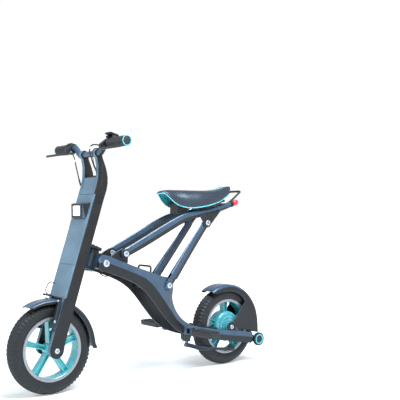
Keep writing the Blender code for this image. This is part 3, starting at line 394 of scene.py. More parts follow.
def piece(name, data, look, body, replaced=(), bevel=0.0, segments=2, angle=30.0, chamfer=0.0, lit=None,
          second=PAINTED_SKY_LIGHT, slot=None):
    """A visible piece on a body. Bevel rounds its edges; lit picks the faces that take the second paint, which
    is painted light standing in for the lamps' sheen; without lit, faces that look up or forward take it.
    """
    item = new_object(name, data)
    mesh = item.data
    mesh.shade_smooth()
    mesh.materials.append(look)
    # Painted light: graphite faces turned up or forward take the second, lighter paint as if lit from above
    # and in front.
    if look is GRAPHITE:
        mesh.materials.append(second)
        for face in mesh.polygons:
            takes_painted_light = lit(face) if lit else face.normal.z > 0.35 or face.normal.x > 0.55
            face.material_index = 1 if takes_painted_light else 0
    if chamfer > 0.0:
        edge_modifier(item, "chamfered edges", chamfer, 1, 40.0)
    if bevel > 0.0:
        soft = edge_modifier(item, "rounded edges", bevel, segments, angle)
        soft.use_clamp_overlap = True
        soft.miter_outer = "MITER_ARC"
        weighted = item.modifiers.new("even shading", "WEIGHTED_NORMAL")
        weighted.keep_sharp = False
        weighted.weight = 80
    else:
        mesh.set_sharp_from_angle(angle=math.radians(angle))
    if body:
        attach(item, body)
    if replaced:
        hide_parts(*replaced)
    return item


def edge_modifier(item, name, width, segments, angle):
    modifier = item.modifiers.new(name, "BEVEL")
    modifier.width = width
    modifier.segments = segments
    modifier.limit_method = "ANGLE"
    modifier.angle_limit = math.radians(angle)
    return modifier


def pair(name, data, look, body, node="", **options):
    """A piece on each side, mirrored; the side is added to its name and to the node that it replaces."""
    for side, sign in sides():
        piece(name + side, flip(data, sign), look, body, (node + side,) if node else (), **options)


def carved(data, cutters):
    """The shape with other closed shapes cut out of it."""
    target = new_object("cutting", data)
    tools = [new_object("cutting", cutter) for cutter in cutters]
    for tool in tools:
        modifier = target.modifiers.new("cut", "BOOLEAN")
        modifier.operation = "DIFFERENCE"
        modifier.solver = "EXACT"
        modifier.object = tool
    graph = bpy.context.evaluated_depsgraph_get()
    shape = bmesh.new()
    shape.from_mesh(target.evaluated_get(graph).to_mesh())
    bmesh.ops.dissolve_limit(shape, angle_limit=FLAT_ANGLE, verts=shape.verts, edges=shape.edges)
    for item in (target, *tools):
        bpy.data.objects.remove(item)
    return unpacked(shape)


def rounded(node, look, bevel, segments=2, cutters=(), angle=30.0, chamfer=0.0, second=PAINTED_SKY_LIGHT, slot=None):
    """The CAD node's shape with coplanar triangles joined, its recesses cut and its edges rounded."""
    shape = bmesh.new()
    shape.from_mesh(NODES[node].data)
    bmesh.ops.remove_doubles(shape, verts=shape.verts, dist=2e-6)
    bmesh.ops.dissolve_limit(shape, angle_limit=FLAT_ANGLE, verts=shape.verts, edges=shape.edges)
    data = unpacked(shape)
    if cutters:
        data = carved(data, cutters)
    return piece(node + "_skin", data, look, BODY_OF[node], (node,), bevel, segments, angle, chamfer,
                 second=second, slot=slot)


def linear(table, x, column):
    """A table's column at x, straight between its rows."""
    for first, second in zip(table, table[1:]):
        if x <= second[0]:
            return first[column] + (second[column] - first[column]) * (x - first[0]) / (second[0] - first[0])
    return table[-1][column]


def curve_at(table, x, column):
    """A table's column at x, smooth through its rows, whose x runs downwards."""
    rows = table[::-1]
    last = len(rows) - 2
    i = next((i for i in range(last) if x <= rows[i + 1][0]), last)
    before, after = rows[max(i - 1, 0)], rows[min(i + 2, last + 1)]
    x0, x1 = rows[i][0], rows[i + 1][0]
    y0, y1 = rows[i][column], rows[i + 1][column]
    span = x1 - x0
    t = min(1.0, max(0.0, (x - x0) / span))
    m0 = y1 - y0 if i == 0 else (y1 - before[column]) / (x1 - before[0]) * span
    m1 = y1 - y0 if i == last else (after[column] - y0) / (after[0] - x0) * span
    return ((2 * t ** 3 - 3 * t ** 2 + 1) * y0 + (t ** 3 - 2 * t ** 2 + t) * m0
            + (-2 * t ** 3 + 3 * t ** 2) * y1 + (t ** 3 - t ** 2) * m1)


# ---------------------------------------------------------------- bolts
def bolt_head(name, place, outward, radius, height, body, replaced=()):
    """A domed cap with a hexagonal socket; place is the seat of the head."""
    shares = ((0.0, 0.0), (0.94, 0.0), (1.0, 0.14), (1.0, 0.45), (0.93, 0.8), (0.8, 1.0), (0.56, 1.0),
              (0.52, 0.8), (0.4, 0.8), (0.36, 0.3), (0.0, 0.3))
    profile = [(radius * a, height * b) for a, b in shares]
    piece(name, lathe(profile, place, outward, 32), BOLT, body, replaced, angle=28.0)
    axis = Vector(outward).normalized()
    side = axis.orthogonal().normalized()
    other = axis.cross(side)

    def to_world(a, b, c):
        return Vector(place) + side * a + other * b + axis * c
    flats = circle((0.0, 0.0), radius * 0.42, 6)
    # Painted shade: the hex insert in the socket takes the darker metal as the shade of the recess.
    plug = prism(flats, height * 0.1, height * 0.62, [circle((0.0, 0.0), radius * 0.2, 12)], to_world)
    piece(name + "_socket", plug, SOCKET_PAINTED_SHADE, body, bevel=radius * 0.03, segments=1)


def bolt_pair(name, centre, y, radius, height, body, node="", turned=1.0):
    """A bolt head on each side. The left one replaces the node or, if its name ends in _, each one does."""
    for side, sign in sides():
        replaced = ()
        if node:
            replaced = (node + side,) if node.endswith("_") else (node,) if sign > 0 else ()
        place = (centre[0], sign * y, centre[1])
        bolt_head(name + side, place, (0.0, sign * turned, 0.0), radius, height, body, replaced)


def rod(name, centre, half, body):
    """A plain shaft across the middle."""
    profile = [(0.0, -half), (ROD_R, -half), (ROD_R, half), (0.0, half)]
    piece(name, lathe(profile, centred(centre), steps=24), BOLT, body)


# ---------------------------------------------------------------- wheels
def tyre(name, centre, body):
    """A carcass with shoulder blocks, two grooves beside the crown and two raised lines on each wall."""
    corners = offset((WHEEL_R, 0.0, 0.0), (0.0, 0.0, 0.0), (-0.0004, 0.006, 0.0), (-0.0016, 0.012, 0.0),
                     (-0.0058, 0.019, 0.0), (-0.012, 0.024, 0.0), (-0.02, 0.0266, 0.0),
                     (-0.029, 0.0262, 0.0), (-0.037, 0.0243, 0.0))
    half = [(p.x, p.y) for p in smooth_path([*corners, (BEAD_R, 0.0222, 0.0)], 0.0016)]
    section = both_ways(half) + [(BEAD_R, 0.019), (0.1094, 0.0), (BEAD_R, -0.019)]
    around = 384
    block = (0.0, 0.0022, 0.0026, 0.0022, 0.0, 0.0)
    shoulder = 0.0085
    loops = []
    for i in range(around):
        turn = 2.0 * math.pi * i / around
        ring = []
        for r, y in section:
            depth = 0.0
            width = abs(y)
            if r > WHEEL_R - 0.0155 and width > shoulder:
                step = (i + (3 if y > 0 else 0)) % len(block)
                depth = block[step] * min(1.0, (width - shoulder) / 0.002)
            if r > WHEEL_R - 0.003:
                for groove in (0.0045, 0.0088):
                    depth = max(depth, 0.0014 * max(0.0, 1.0 - abs(width - groove) / 0.0011))
            if WHEEL_R - 0.03 < r < WHEEL_R - 0.0285 or WHEEL_R - 0.018 < r < WHEEL_R - 0.0168:
                y = math.copysign(width + 0.0003, y)
            reach = r - depth
            ring.append((centre[0] + reach * math.sin(turn), y, centre[1] - reach * math.cos(turn)))
        loops.append(ring)
    piece(name + "_carcass", loft([*loops, loops[0]], caps=False), RUBBER, body, (name,), angle=40.0,
          slot="tyre_rubber")


def polar(centre, turn, radius, y):
    return Vector((centre[0] + radius * math.cos(turn), y, centre[1] + radius * math.sin(turn)))


def spoke(centre, turn, inner, scale):
    """A channel-shaped spoke: two ribs with a lower web between them."""
    along = Vector((math.cos(turn), 0.0, math.sin(turn)))
    side = Vector((-math.sin(turn), 0.0, math.cos(turn)))
    rib = 0.003
    loops = []
    for k in range(7):
        t = k / 6.0
        half = (0.0082 + 0.003 * t ** 1.5) * scale
        depth = 0.014 - 0.001 * t
        web = depth - 0.0075
        section = [(-half, depth - 0.001), (-half + rib, depth), (-half + rib + 0.001, web),
                   (half - rib - 0.001, web), (half - rib, depth), (half, depth - 0.001)]
        section += [(a, -b) for a, b in reversed(section)]
        middle = centred(centre) + along * (inner + (RIM_IN - inner) * t)
        loops.append([middle + side * a + LEFT * b for a, b in section])
    return loft(loops)


def cast_wheel(end, centre, look, inner, scale=1.0):
    """A rim with machined lips and five spokes that start at the inner radius."""
    body = end + "_wheel_body"
    place = centred(centre)
    lip = [(0.109, -0.018), (0.1093, -0.0212), (0.1087, -0.0238), (0.1062, -0.0248), (0.1025, -0.0244),
           (0.0992, -0.0236), (0.0978, -0.0222), (0.0982, -0.0205), (0.101, -0.0195)]
    for side, sign in sides():
        ring = [(r, -y * sign) for r, y in lip]
        piece(end + "_rim_lip_" + side, lathe(ring, place, steps=96, ring=True), SILVER, body)
    barrel = both_ways([(0.0962, 0.0), (0.0966, 0.012), (0.0974, 0.018), (0.098, 0.0208), (0.099, 0.0212),
                        (0.1088, 0.019)])
    barrel.append((0.1092, 0.0))
    piece(end + "_rim_barrel", lathe(barrel, place, steps=96, ring=True), look, body, (end + "_wheel",))
    for k in range(5):
        turn = math.radians(90.0 + 72.0 * k)
        piece("%s_spoke_%d" % (end, k), spoke(centre, turn, inner, scale), look, body, bevel=0.0007)


def front_hub():
    body = "front_wheel_body"
    place = centred(FRONT)
    hub = both_ways([(0.0215, 0.015), (0.019, 0.021), (0.014, 0.025), (0.0135, 0.0345), (0.0125, 0.0358),
                     (0.0068, 0.0358)])
    piece("front_hub", lathe(hub, place, ring=True), TEAL, body, angle=35.0)
    for side, sign in sides():
        seal = [(0.0066, 0.0352), (0.0112, 0.0352), (0.0112, 0.0362), (0.0066, 0.0362)]
        piece("front_seal_" + side, lathe([(r, y * sign) for r, y in seal], place, ring=True), PLASTIC, body)


def hub_motor():
    body = "rear_wheel_body"
    half = [(0.06, 0.019), (0.0585, 0.0226), (0.0555, 0.0252), (0.047, 0.0264), (0.046, 0.026),
            (0.0442, 0.0266), (0.0436, 0.0288), (0.0425, 0.0296), (0.0345, 0.03), (0.0335, 0.0294),
            (0.0318, 0.03), (0.0312, 0.0326), (0.03, 0.0334), (0.0225, 0.0336), (0.0215, 0.033),
            (0.0196, 0.0338), (0.019, 0.0364), (0.018, 0.0372), (0.0068, 0.0372)]
    piece("hub_motor_shell", lathe(both_ways(half), centred(REAR), steps=72, ring=True), DEEP_TEAL, body,
          angle=28.0)
    head = [(0.0, 0.0), (0.0027, 0.0), (0.0027, 0.0012), (0.002, 0.0018), (0.0012, 0.0018), (0.001, 0.0008),
            (0.0, 0.0008)]
    for side, sign in sides():
        for k in range(6):
            spot = polar(REAR, math.radians(60.0 * k + 15.0), 0.0512, sign * 0.0256)
            piece("motor_screw_%s_%d" % (side, k), lathe(head, spot, (0.0, sign, 0.0), 14), BOLT, body)


# ---------------------------------------------------------------- fenders
# Degrees round the axle from straight ahead, then the crown's radius, the lip's radius and half the width.
REAR_FENDER = ((59.0, 0.169, 0.16, 0.036), (63.0, 0.17, 0.15, 0.039), (80.0, 0.169, 0.142, 0.04),
               (100.0, 0.167, 0.137, 0.04), (120.0, 0.164, 0.132, 0.04), (131.0, 0.1625, 0.127, 0.04),
               (134.0, 0.1622, 0.026, 0.04), (150.0, 0.1612, 0.024, 0.04), (166.0, 0.161, 0.024, 0.04),
               (178.0, 0.1618, 0.024, 0.04), (187.0, 0.1645, 0.025, 0.04), (194.0, 0.169, 0.03, 0.04))
FRONT_FENDER = ((60.0, 0.17, 0.164, 0.029), (64.0, 0.169, 0.158, 0.033), (85.0, 0.168, 0.154, 0.0345),
                (104.0, 0.167, 0.154, 0.0345), (122.0, 0.166, 0.15, 0.0345), (132.0, 0.165, 0.144, 0.039),
                (150.0, 0.163, 0.14, 0.0395), (166.0, 0.1625, 0.14, 0.0395), (178.0, 0.164, 0.142, 0.0395),
                (184.0, 0.172, 0.148, 0.0395))


def fender(name, centre, stations, body):
    """A mudguard with a rounded crown and rolled lips."""
    angles = sorted({float(a) for a in range(int(stations[0][0]), int(stations[-1][0]) + 1, 2)}
                    | {row[0] for row in stations})
    wall = 0.002
    loops = []
    for angle in angles:
        outer, skirt, half = (linear(stations, angle, column) for column in (1, 2, 3))
        shoulder = min(0.013, (outer - skirt) * 0.6)
        reach = 0.014

        def corner(inset, sign, order):
            points = []
            for k in range(7):
                t = math.radians(90.0 * k / 6.0)
                points.append((outer - inset - (shoulder - inset) * (1.0 - math.sin(t)),
                               sign * (half - inset - (reach - inset) * (1.0 - math.cos(t)))))
            return points[::order]
        outside = [(skirt, -half), *corner(0.0, -1, 1), *corner(0.0, 1, -1), (skirt, half)]
        inside = [(skirt, half - wall), *corner(wall, 1, 1), *corner(wall, -1, -1), (skirt, -half + wall)]
        turn = math.radians(angle)
        loops.append([polar(centre, turn, radius, y) for radius, y in outside + inside])
    count = len(loops[0])
    verts, faces = loft(loops, caps=False)
    half_count = count // 2
    for base in (0, len(verts) - count):
        for i in range(half_count - 1):
            faces.append([base + i, base + i + 1, base + count - 2 - i, base + count - 1 - i])
    piece(name + "_shell", (verts, faces), GRAPHITE, body, (name,), bevel=0.0006, segments=1, angle=40.0)


# ---------------------------------------------------------------- frame members
# Matching places along a member: x and z of the upper edge, then x and z of the lower.
MEMBER = (
    (-0.164, 0.444, -0.164, 0.422), (-0.17, 0.454, -0.169, 0.4125), (-0.182, 0.4615, -0.182, 0.405),
    (-0.205, 0.458, -0.202, 0.401), (-0.25, 0.441, -0.24, 0.388), (-0.3, 0.423, -0.285, 0.371),
    (-0.35, 0.405, -0.325, 0.351), (-0.4, 0.388, -0.358, 0.328), (-0.438, 0.375, -0.386, 0.3),
    (-0.464, 0.369, -0.404, 0.279), (-0.484, 0.353, -0.42, 0.259), (-0.489, 0.325, -0.437, 0.239),
    (-0.4855, 0.29, -0.452, 0.221), (-0.497, 0.253, -0.47, 0.202), (-0.523, 0.217, -0.493, 0.181),
    (-0.56, 0.19, -0.525, 0.16), (-0.61, 0.172, -0.575, 0.14), (-0.68, 0.157, -0.655, 0.1195),
    (-0.76, 0.1425, -0.745, 0.1035), (-0.85, 0.129, -0.84, 0.0865), (-0.898, 0.12, -0.892, 0.0765))


def member():
    """A frame member: flat inside, with a ridge outside that follows its smoothed lower edge."""
    tops = smooth_path([(SHIFT + a, 0.0, b) for a, b, c, d in MEMBER], parts=5)
    bottoms = smooth_path([(SHIFT + c, 0.0, d) for a, b, c, d in MEMBER], parts=5)
    loops = []
    for top, bottom in zip(tops, bottoms):
        ridge = bottom.lerp(top, min(0.56, 0.036 / (top - bottom).length))
        lower, upper = LEFT * (MEMBER_EDGE - 0.0025), LEFT * (MEMBER_EDGE - 0.0035)
        loops.append([bottom + LEFT * MEMBER_IN, bottom + lower, ridge + LEFT * MEMBER_RIDGE, top + upper,
                      top + LEFT * MEMBER_IN])
    return loft(loops)


def side_strip(count, painted_light_strips):
    """Picks a loft's faces by their place in the section, for the painted sky light; the first two faces are
    its ends.
    """
    return lambda face: face.index > 1 and (face.index - 2) % count in painted_light_strips


def build_frame():
    """Members and what is fixed to them: dropouts, tongues, clevises, kickstand tab, bolts and motor lead."""
    # Painted light: each member's upper side facet and its top take the painted sky light.
    pair("member_skin_", member(), GRAPHITE, "frame", "frame_member_", bevel=0.0012, angle=9.0,
         lit=side_strip(5, (2, 3)))
    drop = arc(REAR, 0.02, -10.0, 190.0, 16)
    drop += [(REAR[0] - 0.045, 0.123), (REAR[0] - 0.045, 0.105), (REAR[0] + 0.045, 0.116),
             (REAR[0] + 0.045, 0.134)]
    pair("dropout_", prism(drop, 0.0427, 0.0472), GRAPHITE, "frame", bevel=0.001)
    tongue = offset(ORIGIN, (-0.885, 0.08), (-0.885, 0.118), (-0.9225, 0.101))
    tongue += arc(ROLLER, 0.0095, 60.0, 250.0, 10)
    pair("roller_tongue_", prism(tongue, 0.0468, 0.0505), GRAPHITE, "frame", bevel=0.0008)
    base = [(PEG_X - 0.0155, 0.0545), (PEG_X + 0.019, 0.0545), (PEG_X + 0.0155, PEG_Y - 0.006),
            *arc((PEG_X, PEG_Y), 0.0105, 0.0, 180.0, 12), (PEG_X - 0.0145, PEG_Y - 0.006)]
    for level, low, high in (("low_", -0.0145, -0.0093), ("high_", 0.0093, 0.0145)):
        cheek = prism(base, PEG_Z + low, PEG_Z + high, to_world=on_top)
        pair("peg_cheek_" + level, cheek, GRAPHITE, "frame", bevel=0.0012)
    web = offset((PEG_X, 0.0), (-0.015, 0.055), (0.018, 0.055), (0.016, 0.0705), (-0.014, 0.0705))
    pair("peg_web_", prism(web, PEG_Z - 0.01, PEG_Z + 0.01, to_world=on_top), GRAPHITE, "frame", bevel=0.001)
    tab = offset((STAND[0], 0.0), (0.024, 0.162), (-0.022, 0.15), (-0.0115, 0.128), (-0.0115, 0.119),
                 (0.011, 0.119), (0.022, 0.13))
    piece("stand_tab", prism(tab, 0.029, 0.0475), BLACK, "frame", bevel=0.0012)
    rounded("frame_cross_tube", GRAPHITE, 0.0008)
    rounded("latch_block", BLACK, 0.0022)
    clevis = circle((SHIFT - 0.598, 0.156), 0.0125, 20)
    pair("cross_clevis_", prism(clevis, 0.033, 0.0455), BLACK, "frame", bevel=0.0015)
    bolt_pair("strut_bolt_", PIVOT_B, 0.0646, 0.0106, 0.0033, "frame", "strut_pivot_")
    shank = [(0.0, 0.0), (0.0085, 0.0), (0.0095, 0.003), (0.005, 0.0035), (0.005, 0.0245), (0.0, 0.0245)]
    for side, sign in sides():
        inner = lathe(shank, (PIVOT_B[0], sign * 0.038, PIVOT_B[1]), (0.0, sign, 0.0), 24)
        piece("strut_shank_" + side, inner, BOLT, "frame")
    bolt_pair("rear_axle_bolt_", REAR, 0.0478, 0.0088, 0.0052, "frame", "rear_axle")
    rod("rear_axle_rod", REAR, 0.048, "frame")
    path = smooth_path(offset(ORIGIN, (-0.574, 0.0439, 0.187), (-0.61, 0.0439, 0.1755),
                              (-0.66, 0.0439, 0.164), (-0.712, 0.0439, 0.1535)), 0.004)
    radii = [0.0036 if i < 4 or i > len(path) - 5 else 0.0024 for i in range(len(path))]
    piece("motor_lead", tube(path, 0.0022, 14, radii), PLASTIC, "frame", ("motor_cable",))


# ---------------------------------------------------------------- head and column
def build_head():
    rounded("head_yoke", GRAPHITE, 0.0016)
    rounded("head_tube", GRAPHITE, 0.0012)
    bolt_pair("fold_bolt_", HINGE_D, 0.06, 0.0122, 0.0035, "folding_head", "fold_hinge_shaft")
    bolt_pair("lug_nut_", PIVOT_A, 0.0332, 0.0104, 0.0034, "folding_head", turned=-1.0)
    rod("fold_shaft_rod", HINGE_D, 0.06, "folding_head")


def build_column():
    """Rails with their slots, covers, brackets, headlight and front axle."""
    slot = arc((SHIFT - 0.179, 0.692), 0.0036, 180.0, 360.0, 10)
    slot += arc((SHIFT - 0.185, 0.77), 0.0036, 0.0, 180.0, 10)
    for side, _ in sides():
        # Painted light: the rails' faces and chamfers that look up or forward take the blue panel paint,
        # standing in for the light they catch.
        rounded("column_rail_" + side, GRAPHITE, 0.0008, angle=20.0, chamfer=0.0062, second=PANEL)
    # A thin black strip set in each rail's slot, darkening the slot along its length.
    pair("rail_slot_dark_strip_", prism(slot, 0.05, 0.053), BLACK, "column", bevel=0.0006)
    bolt_pair("front_axle_bolt_", FRONT, 0.0527, 0.0092, 0.0037, "column", "front_axle")
    rod("front_axle_rod", FRONT, 0.0528, "column")
    for node in ("cover_lower", "cover_middle", "cover_upper"):
        rounded(node, PANEL, 0.0014)
    for node, bevel in (("column_bridge", 0.001), ("steer_bracket_lower", 0.0012),
                        ("steer_bracket_upper", 0.0014)):
        rounded(node, GRAPHITE, bevel)
    rounded("steering_stem", BOLT, 0.0006)
    rounded("headlight_housing", GRAPHITE, 0.0045, 4)
    nose = SHIFT - 0.114
    glass = rectangle(-0.023, 0.023, 0.5964, 0.63)
    piece("lamp_glass", prism(glass, nose + 0.0004, nose + 0.0024, to_world=facing), LENS, "column",
          ("headlight_lens",), bevel=0.0008)
    border = rectangle(-0.033, 0.033, 0.589, 0.637)
    window = rectangle(-0.0232, 0.0232, 0.5962, 0.6302)
    bezel = prism(border, nose + 0.0002, nose + 0.003, [window], facing)
    piece("lamp_bezel", bezel, BLACK, "column", bevel=0.0006)


# ---------------------------------------------------------------- handlebar
def build_handlebar():
    """The bent bar with grips, clamps, levers and cables; the right grip is shorter, beside the throttle."""
    bar = both_ways([(BAR_X, 0.0, CROSSBAR_Z), (BAR_X, 0.03, CROSSBAR_Z), (BAR_X, 0.056, CROSSBAR_Z),
                     (BAR_X, 0.068, CROSSBAR_Z + 0.0025), (BAR_X, 0.094, BAR_Z - 0.0025),
                     (BAR_X, 0.106, BAR_Z), (BAR_X, 0.15, BAR_Z), (BAR_X, 0.22, BAR_Z)])
    piece("handlebar_tube", tube(smooth_path(bar, 0.004), BAR_R, 24), GRAPHITE, "column", ("handlebar",))
    place = (BAR_X, 0.0, BAR_Z)
    end = (0.0, GRIP_END)
    for side, sign in sides():
        start = 0.1225 if sign > 0 else 0.14
        profile = [(BAR_R + 0.0003, start), (0.0178, start), (0.0185, start + 0.0008),
                   (0.0185, start + 0.005), (0.0168, start + 0.007)]
        count = 26
        ribbed = GRIP_END - 0.0095 - start - 0.009
        pitch = ribbed / count
        for k in range(count):
            at = start + 0.009 + ribbed * k / count
            profile += [(0.0169, at), (0.0169, at + pitch * 0.62), (0.0166, at + pitch * 0.72),
                        (0.0166, at + pitch * 0.92)]
        profile += offset(end, (0.0171, -0.0085), (0.0173, -0.004), (0.0168, -0.0031), (0.0, -0.0031))
        sleeve = flip(lathe(profile, place, steps=40), sign)
        piece("grip_sleeve_" + side, sleeve, GRIP, "column", ("grip_" + side,), angle=50.0)
        rounded("lever_clamp_" + side, BLACK, 0.0012)
        rounded("brake_lever_" + side, BLACK, 0.0012, slot="graphite_frame")
        spot = (BAR_X - 0.0166, sign * 0.1132, BAR_Z - 0.002)
        bolt_head("clamp_screw_" + side, spot, (-1.0, 0.0, 0.0), 0.0034, 0.0022, "column")
        brake_cable(side, sign)
    ring = offset(end, (0.014, -0.003), (0.0166, -0.003), (0.0172, -0.0022), (0.0172, -0.0008), (0.0166, 0.0),
                  (0.0148, 0.0), (0.014, -0.001))
    pair("grip_ring_", lathe(ring, place, steps=40, ring=True), TEAL, "column")
    cap = offset(end, (0.0, -0.0036), (0.0139, -0.0036), (0.0139, -0.0014), (0.0125, -0.0006), (0.0, -0.0004))
    pair("grip_cap_", lathe(cap, place, steps=40), GRIP, "column")
    throttle()
    display()


def throttle():
    """The throttle's collar on the right grip, with fine ribs round it."""
    radius = 0.0203
    ring = [(BAR_R + 0.0004, 0.1226), (0.0195, 0.1226), (radius, 0.1236), (radius, 0.1374), (0.0195, 0.1384),
            (BAR_R + 0.0004, 0.1384)]
    collar = lathe(ring, (BAR_X, 0.0, BAR_Z), ring=True)
    piece("throttle_collar", flip(collar, -1.0), PLASTIC, "throttle", ("throttle_ring",), slot="grip_rubber")
    rib = both_ways([(0.0009, 0.0), (0.0008, 0.006), (0.0, 0.006)])
    for k in range(16):
        spot = polar((BAR_X, BAR_Z), 2.0 * math.pi * k / 16, radius, -0.1305)
        piece("throttle_rib_%02d" % k, lathe(rib, spot, steps=8), PLASTIC, "throttle", slot="grip_rubber")


def display():
    """The display's case, glass and foot beside the left grip."""
    tilt = math.radians(14.0)

    def on_plate(a, b, c):
        return Vector((BAR_X - 0.004 + a * math.cos(tilt) - c * math.sin(tilt), b,
                       BAR_Z + 0.0265 + a * math.sin(tilt) + c * math.cos(tilt)))
    case = rectangle(-0.017, 0.0185, 0.1135, 0.1465)
    piece("display_case", prism(case, -0.0032, 0.0036, to_world=on_plate), PLASTIC, "column",
          ("display_unit",), bevel=0.0024, segments=3)
    glass = rectangle(-0.014, 0.0155, 0.1165, 0.1435)
    piece("display_glass", prism(glass, 0.003, 0.0042, to_world=on_plate), SCREEN, "column", bevel=0.0004)
    foot = rectangle(BAR_X - 0.012, BAR_X + 0.008, 0.1095, 0.121)
    piece("display_foot", prism(foot, BAR_Z + 0.016, BAR_Z + 0.0245, to_world=on_top), PLASTIC, "column",
          bevel=0.0014)


def brake_cable(side, sign):
    """Brake cable from the lever clamp down to the rail, with its boots and adjuster."""
    bar = (BAR_X, 0.0, BAR_Z)
    route = offset(bar, (0.018, 0.1052, -0.0125), (0.018, 0.093, -0.019), (0.017, 0.078, -0.039),
                   (0.017, 0.067, -0.069), (0.013, 0.059, -0.104), (0.007, 0.0552, -0.133))
    if sign > 0:
        route = offset(bar, (0.018, 0.1052, -0.0125), (0.03, 0.096, -0.006), (0.044, 0.082, -0.006),
                       (0.046, 0.07, -0.02), (0.036, 0.062, -0.042), (0.024, 0.057, -0.066),
                       (0.012, 0.055, -0.086))
        second = offset(bar, (0.004, 0.106, -0.019), (0.022, 0.09, -0.016), (0.034, 0.074, -0.02),
                        (0.03, 0.064, -0.044), (0.02, 0.057, -0.072), (0.01, 0.055, -0.096))
        piece("display_lead", tube(smooth_path(second), 0.0014, 10), PLASTIC, "column")
    path = smooth_path([(x, sign * y, z) for x, y, z in route])
    piece("brake_cable_" + side, tube(path, 0.0021, 12), PLASTIC, "column", ("cable_" + side,))
    boot = tube(path[-9:], 0.0, 14, [0.0024] + [0.0029] * 6 + [0.003] * 2)
    piece("cable_boot_" + side, boot, BLACK, "column")
    middle = len(path) // 3
    piece("cable_adjuster_" + side, tube(path[middle:middle + 4], 0.0026, 14), BOLT, "column")
    piece("cable_nut_" + side, tube(path[1:5], 0.003, 6), BOLT, "column")


# ---------------------------------------------------------------- brakes, pegs, stand, rollers
def build_small_parts():
    for side, sign in sides():
        body = "brake_arm_" + side[0]
        rounded("brake_arm_" + side, BLACK, 0.001)
        pivot = Vector((BRAKE_PIVOT.x, sign * BRAKE_PIVOT.y, BRAKE_PIVOT.z))
        bolt_head("brake_bolt_" + side, pivot + FORWARD * 0.0046, FORWARD, 0.0052, 0.0028, body)
        spot = pivot + LEFT * sign * 0.0046 + UP * 0.0275
        bolt_head("pad_bolt_" + side, spot, (0.0, sign, 0.0), 0.0044, 0.0026, body)
        spot = pivot + UP * 0.0965 + FORWARD * 0.0046
        bolt_head("cable_pinch_" + side, spot, FORWARD, 0.0036, 0.0024, body)
        foot_peg(side, sign)
        roller(side, sign)
    rounded("battery_pack", PLASTIC, 0.003, 3, battery_recesses())
    handle = offset(ORIGIN, (-0.392, 0.049, 0.362), (-0.392, 0.042, 0.362), (-0.3925, 0.0388, 0.3645),
                    (-0.3945, 0.038, 0.378), (-0.3965, 0.038, 0.4), (-0.3972, 0.036, 0.409),
                    (-0.3972, 0.03, 0.412), (-0.3972, 0.0, 0.4122))
    path = both_ways(handle[::-1])[::-1]
    piece("release_pull", tube(smooth_path(path), 0.0036, 14), BLACK, "release", ("release_handle",))
    kickstand()


def battery_recesses():
    """A hooked hand recess and a slot in the rear face."""
    back = SHIFT - 0.14
    hand = [(-0.02, 0.56), (-0.008, 0.56), (-0.008, 0.6), (0.02, 0.6), (0.02, 0.614), (-0.02, 0.614)]
    slot = rectangle(-0.018, 0.018, 0.532, 0.54)
    return [prism(hand, back - 0.04, back - 0.0235, to_world=facing),
            prism(slot, back - 0.04, back + 0.001, to_world=facing)]


def foot_peg(side, sign):
    """A flat peg with cross ribs on both faces, on a tongue with an upright pin."""
    body = "peg_" + side[0]
    x, y, z = PEG_X, PEG_Y, PEG_Z
    outline = offset((x, y), (-0.018, 0.017), (-0.0235, 0.023), (-0.0235, 0.127), (-0.018, 0.133),
                     (0.018, 0.133), (0.0235, 0.127), (0.0235, 0.023), (0.018, 0.017))
    core = prism(outline, z - 0.0092, z + 0.0092, to_world=on_top)
    piece("peg_core_" + side, flip(core, sign), BLACK, body, ("foot_peg_" + side,), bevel=0.0024, segments=3)
    ribs = []
    for k in range(14):
        at = y + 0.0255 + 0.0072 * k
        for low, high in ((z - 0.0108, z - 0.0085), (z + 0.0085, z + 0.0108)):
            ribs.append(prism(rectangle(x - 0.0205, x + 0.0205, at, at + 0.004), low, high, to_world=on_top))
    piece("peg_ribs_" + side, flip(merged(*ribs), sign), GRIP, body, bevel=0.0007)
    tongue = prism([(x - 0.009, y + 0.02), *arc((x, y), 0.009, 180.0, 360.0, 14), (x + 0.009, y + 0.02)],
                   z - 0.0088, z + 0.0088, to_world=on_top)
    piece("peg_tongue_" + side, flip(tongue, sign), GRAPHITE, body, bevel=0.001)
    pin = both_ways([(0.003, 0.0147), (0.0056, 0.0149), (0.0052, 0.0158), (0.0, 0.0158)])
    piece("peg_pin_" + side, lathe(pin, (x, sign * y, z), (0.0, 0.0, 1.0), 24), BLACK, body)


def roller(side, sign):
    """A small transport wheel: tread, teal ring and hub."""
    body = "roller_" + side[0]
    rim = [(0.0207, 0.0512), (0.024, 0.0512), (0.0262, 0.0524), (0.027, 0.0542), (0.027, 0.0605),
           (0.0262, 0.0624), (0.024, 0.064), (0.0218, 0.064), (0.0212, 0.0626), (0.0207, 0.062)]
    ring = [(0.011, 0.0526), (0.0206, 0.0526), (0.0206, 0.0628), (0.0198, 0.0637), (0.016, 0.0637),
            (0.0158, 0.0618), (0.011, 0.0612)]
    hub = [(0.0, 0.0442), (0.004, 0.0442), (0.004, 0.0518), (0.0112, 0.0522), (0.015, 0.0606),
           (0.015, 0.0618), (0.0135, 0.0624), (0.006, 0.0624), (0.005, 0.0632), (0.0, 0.0634)]
    shapes = (("tread", rim, RUBBER, ("roller_" + side,)), ("ring", ring, TEAL, ()),
              ("hub", hub, GRAPHITE, ()))
    for name, profile, look, replaced in shapes:
        data = lathe(profile, centred(ROLLER), ring=profile is not hub)
        piece("roller_%s_%s" % (name, side), flip(data, sign), look, body, replaced)


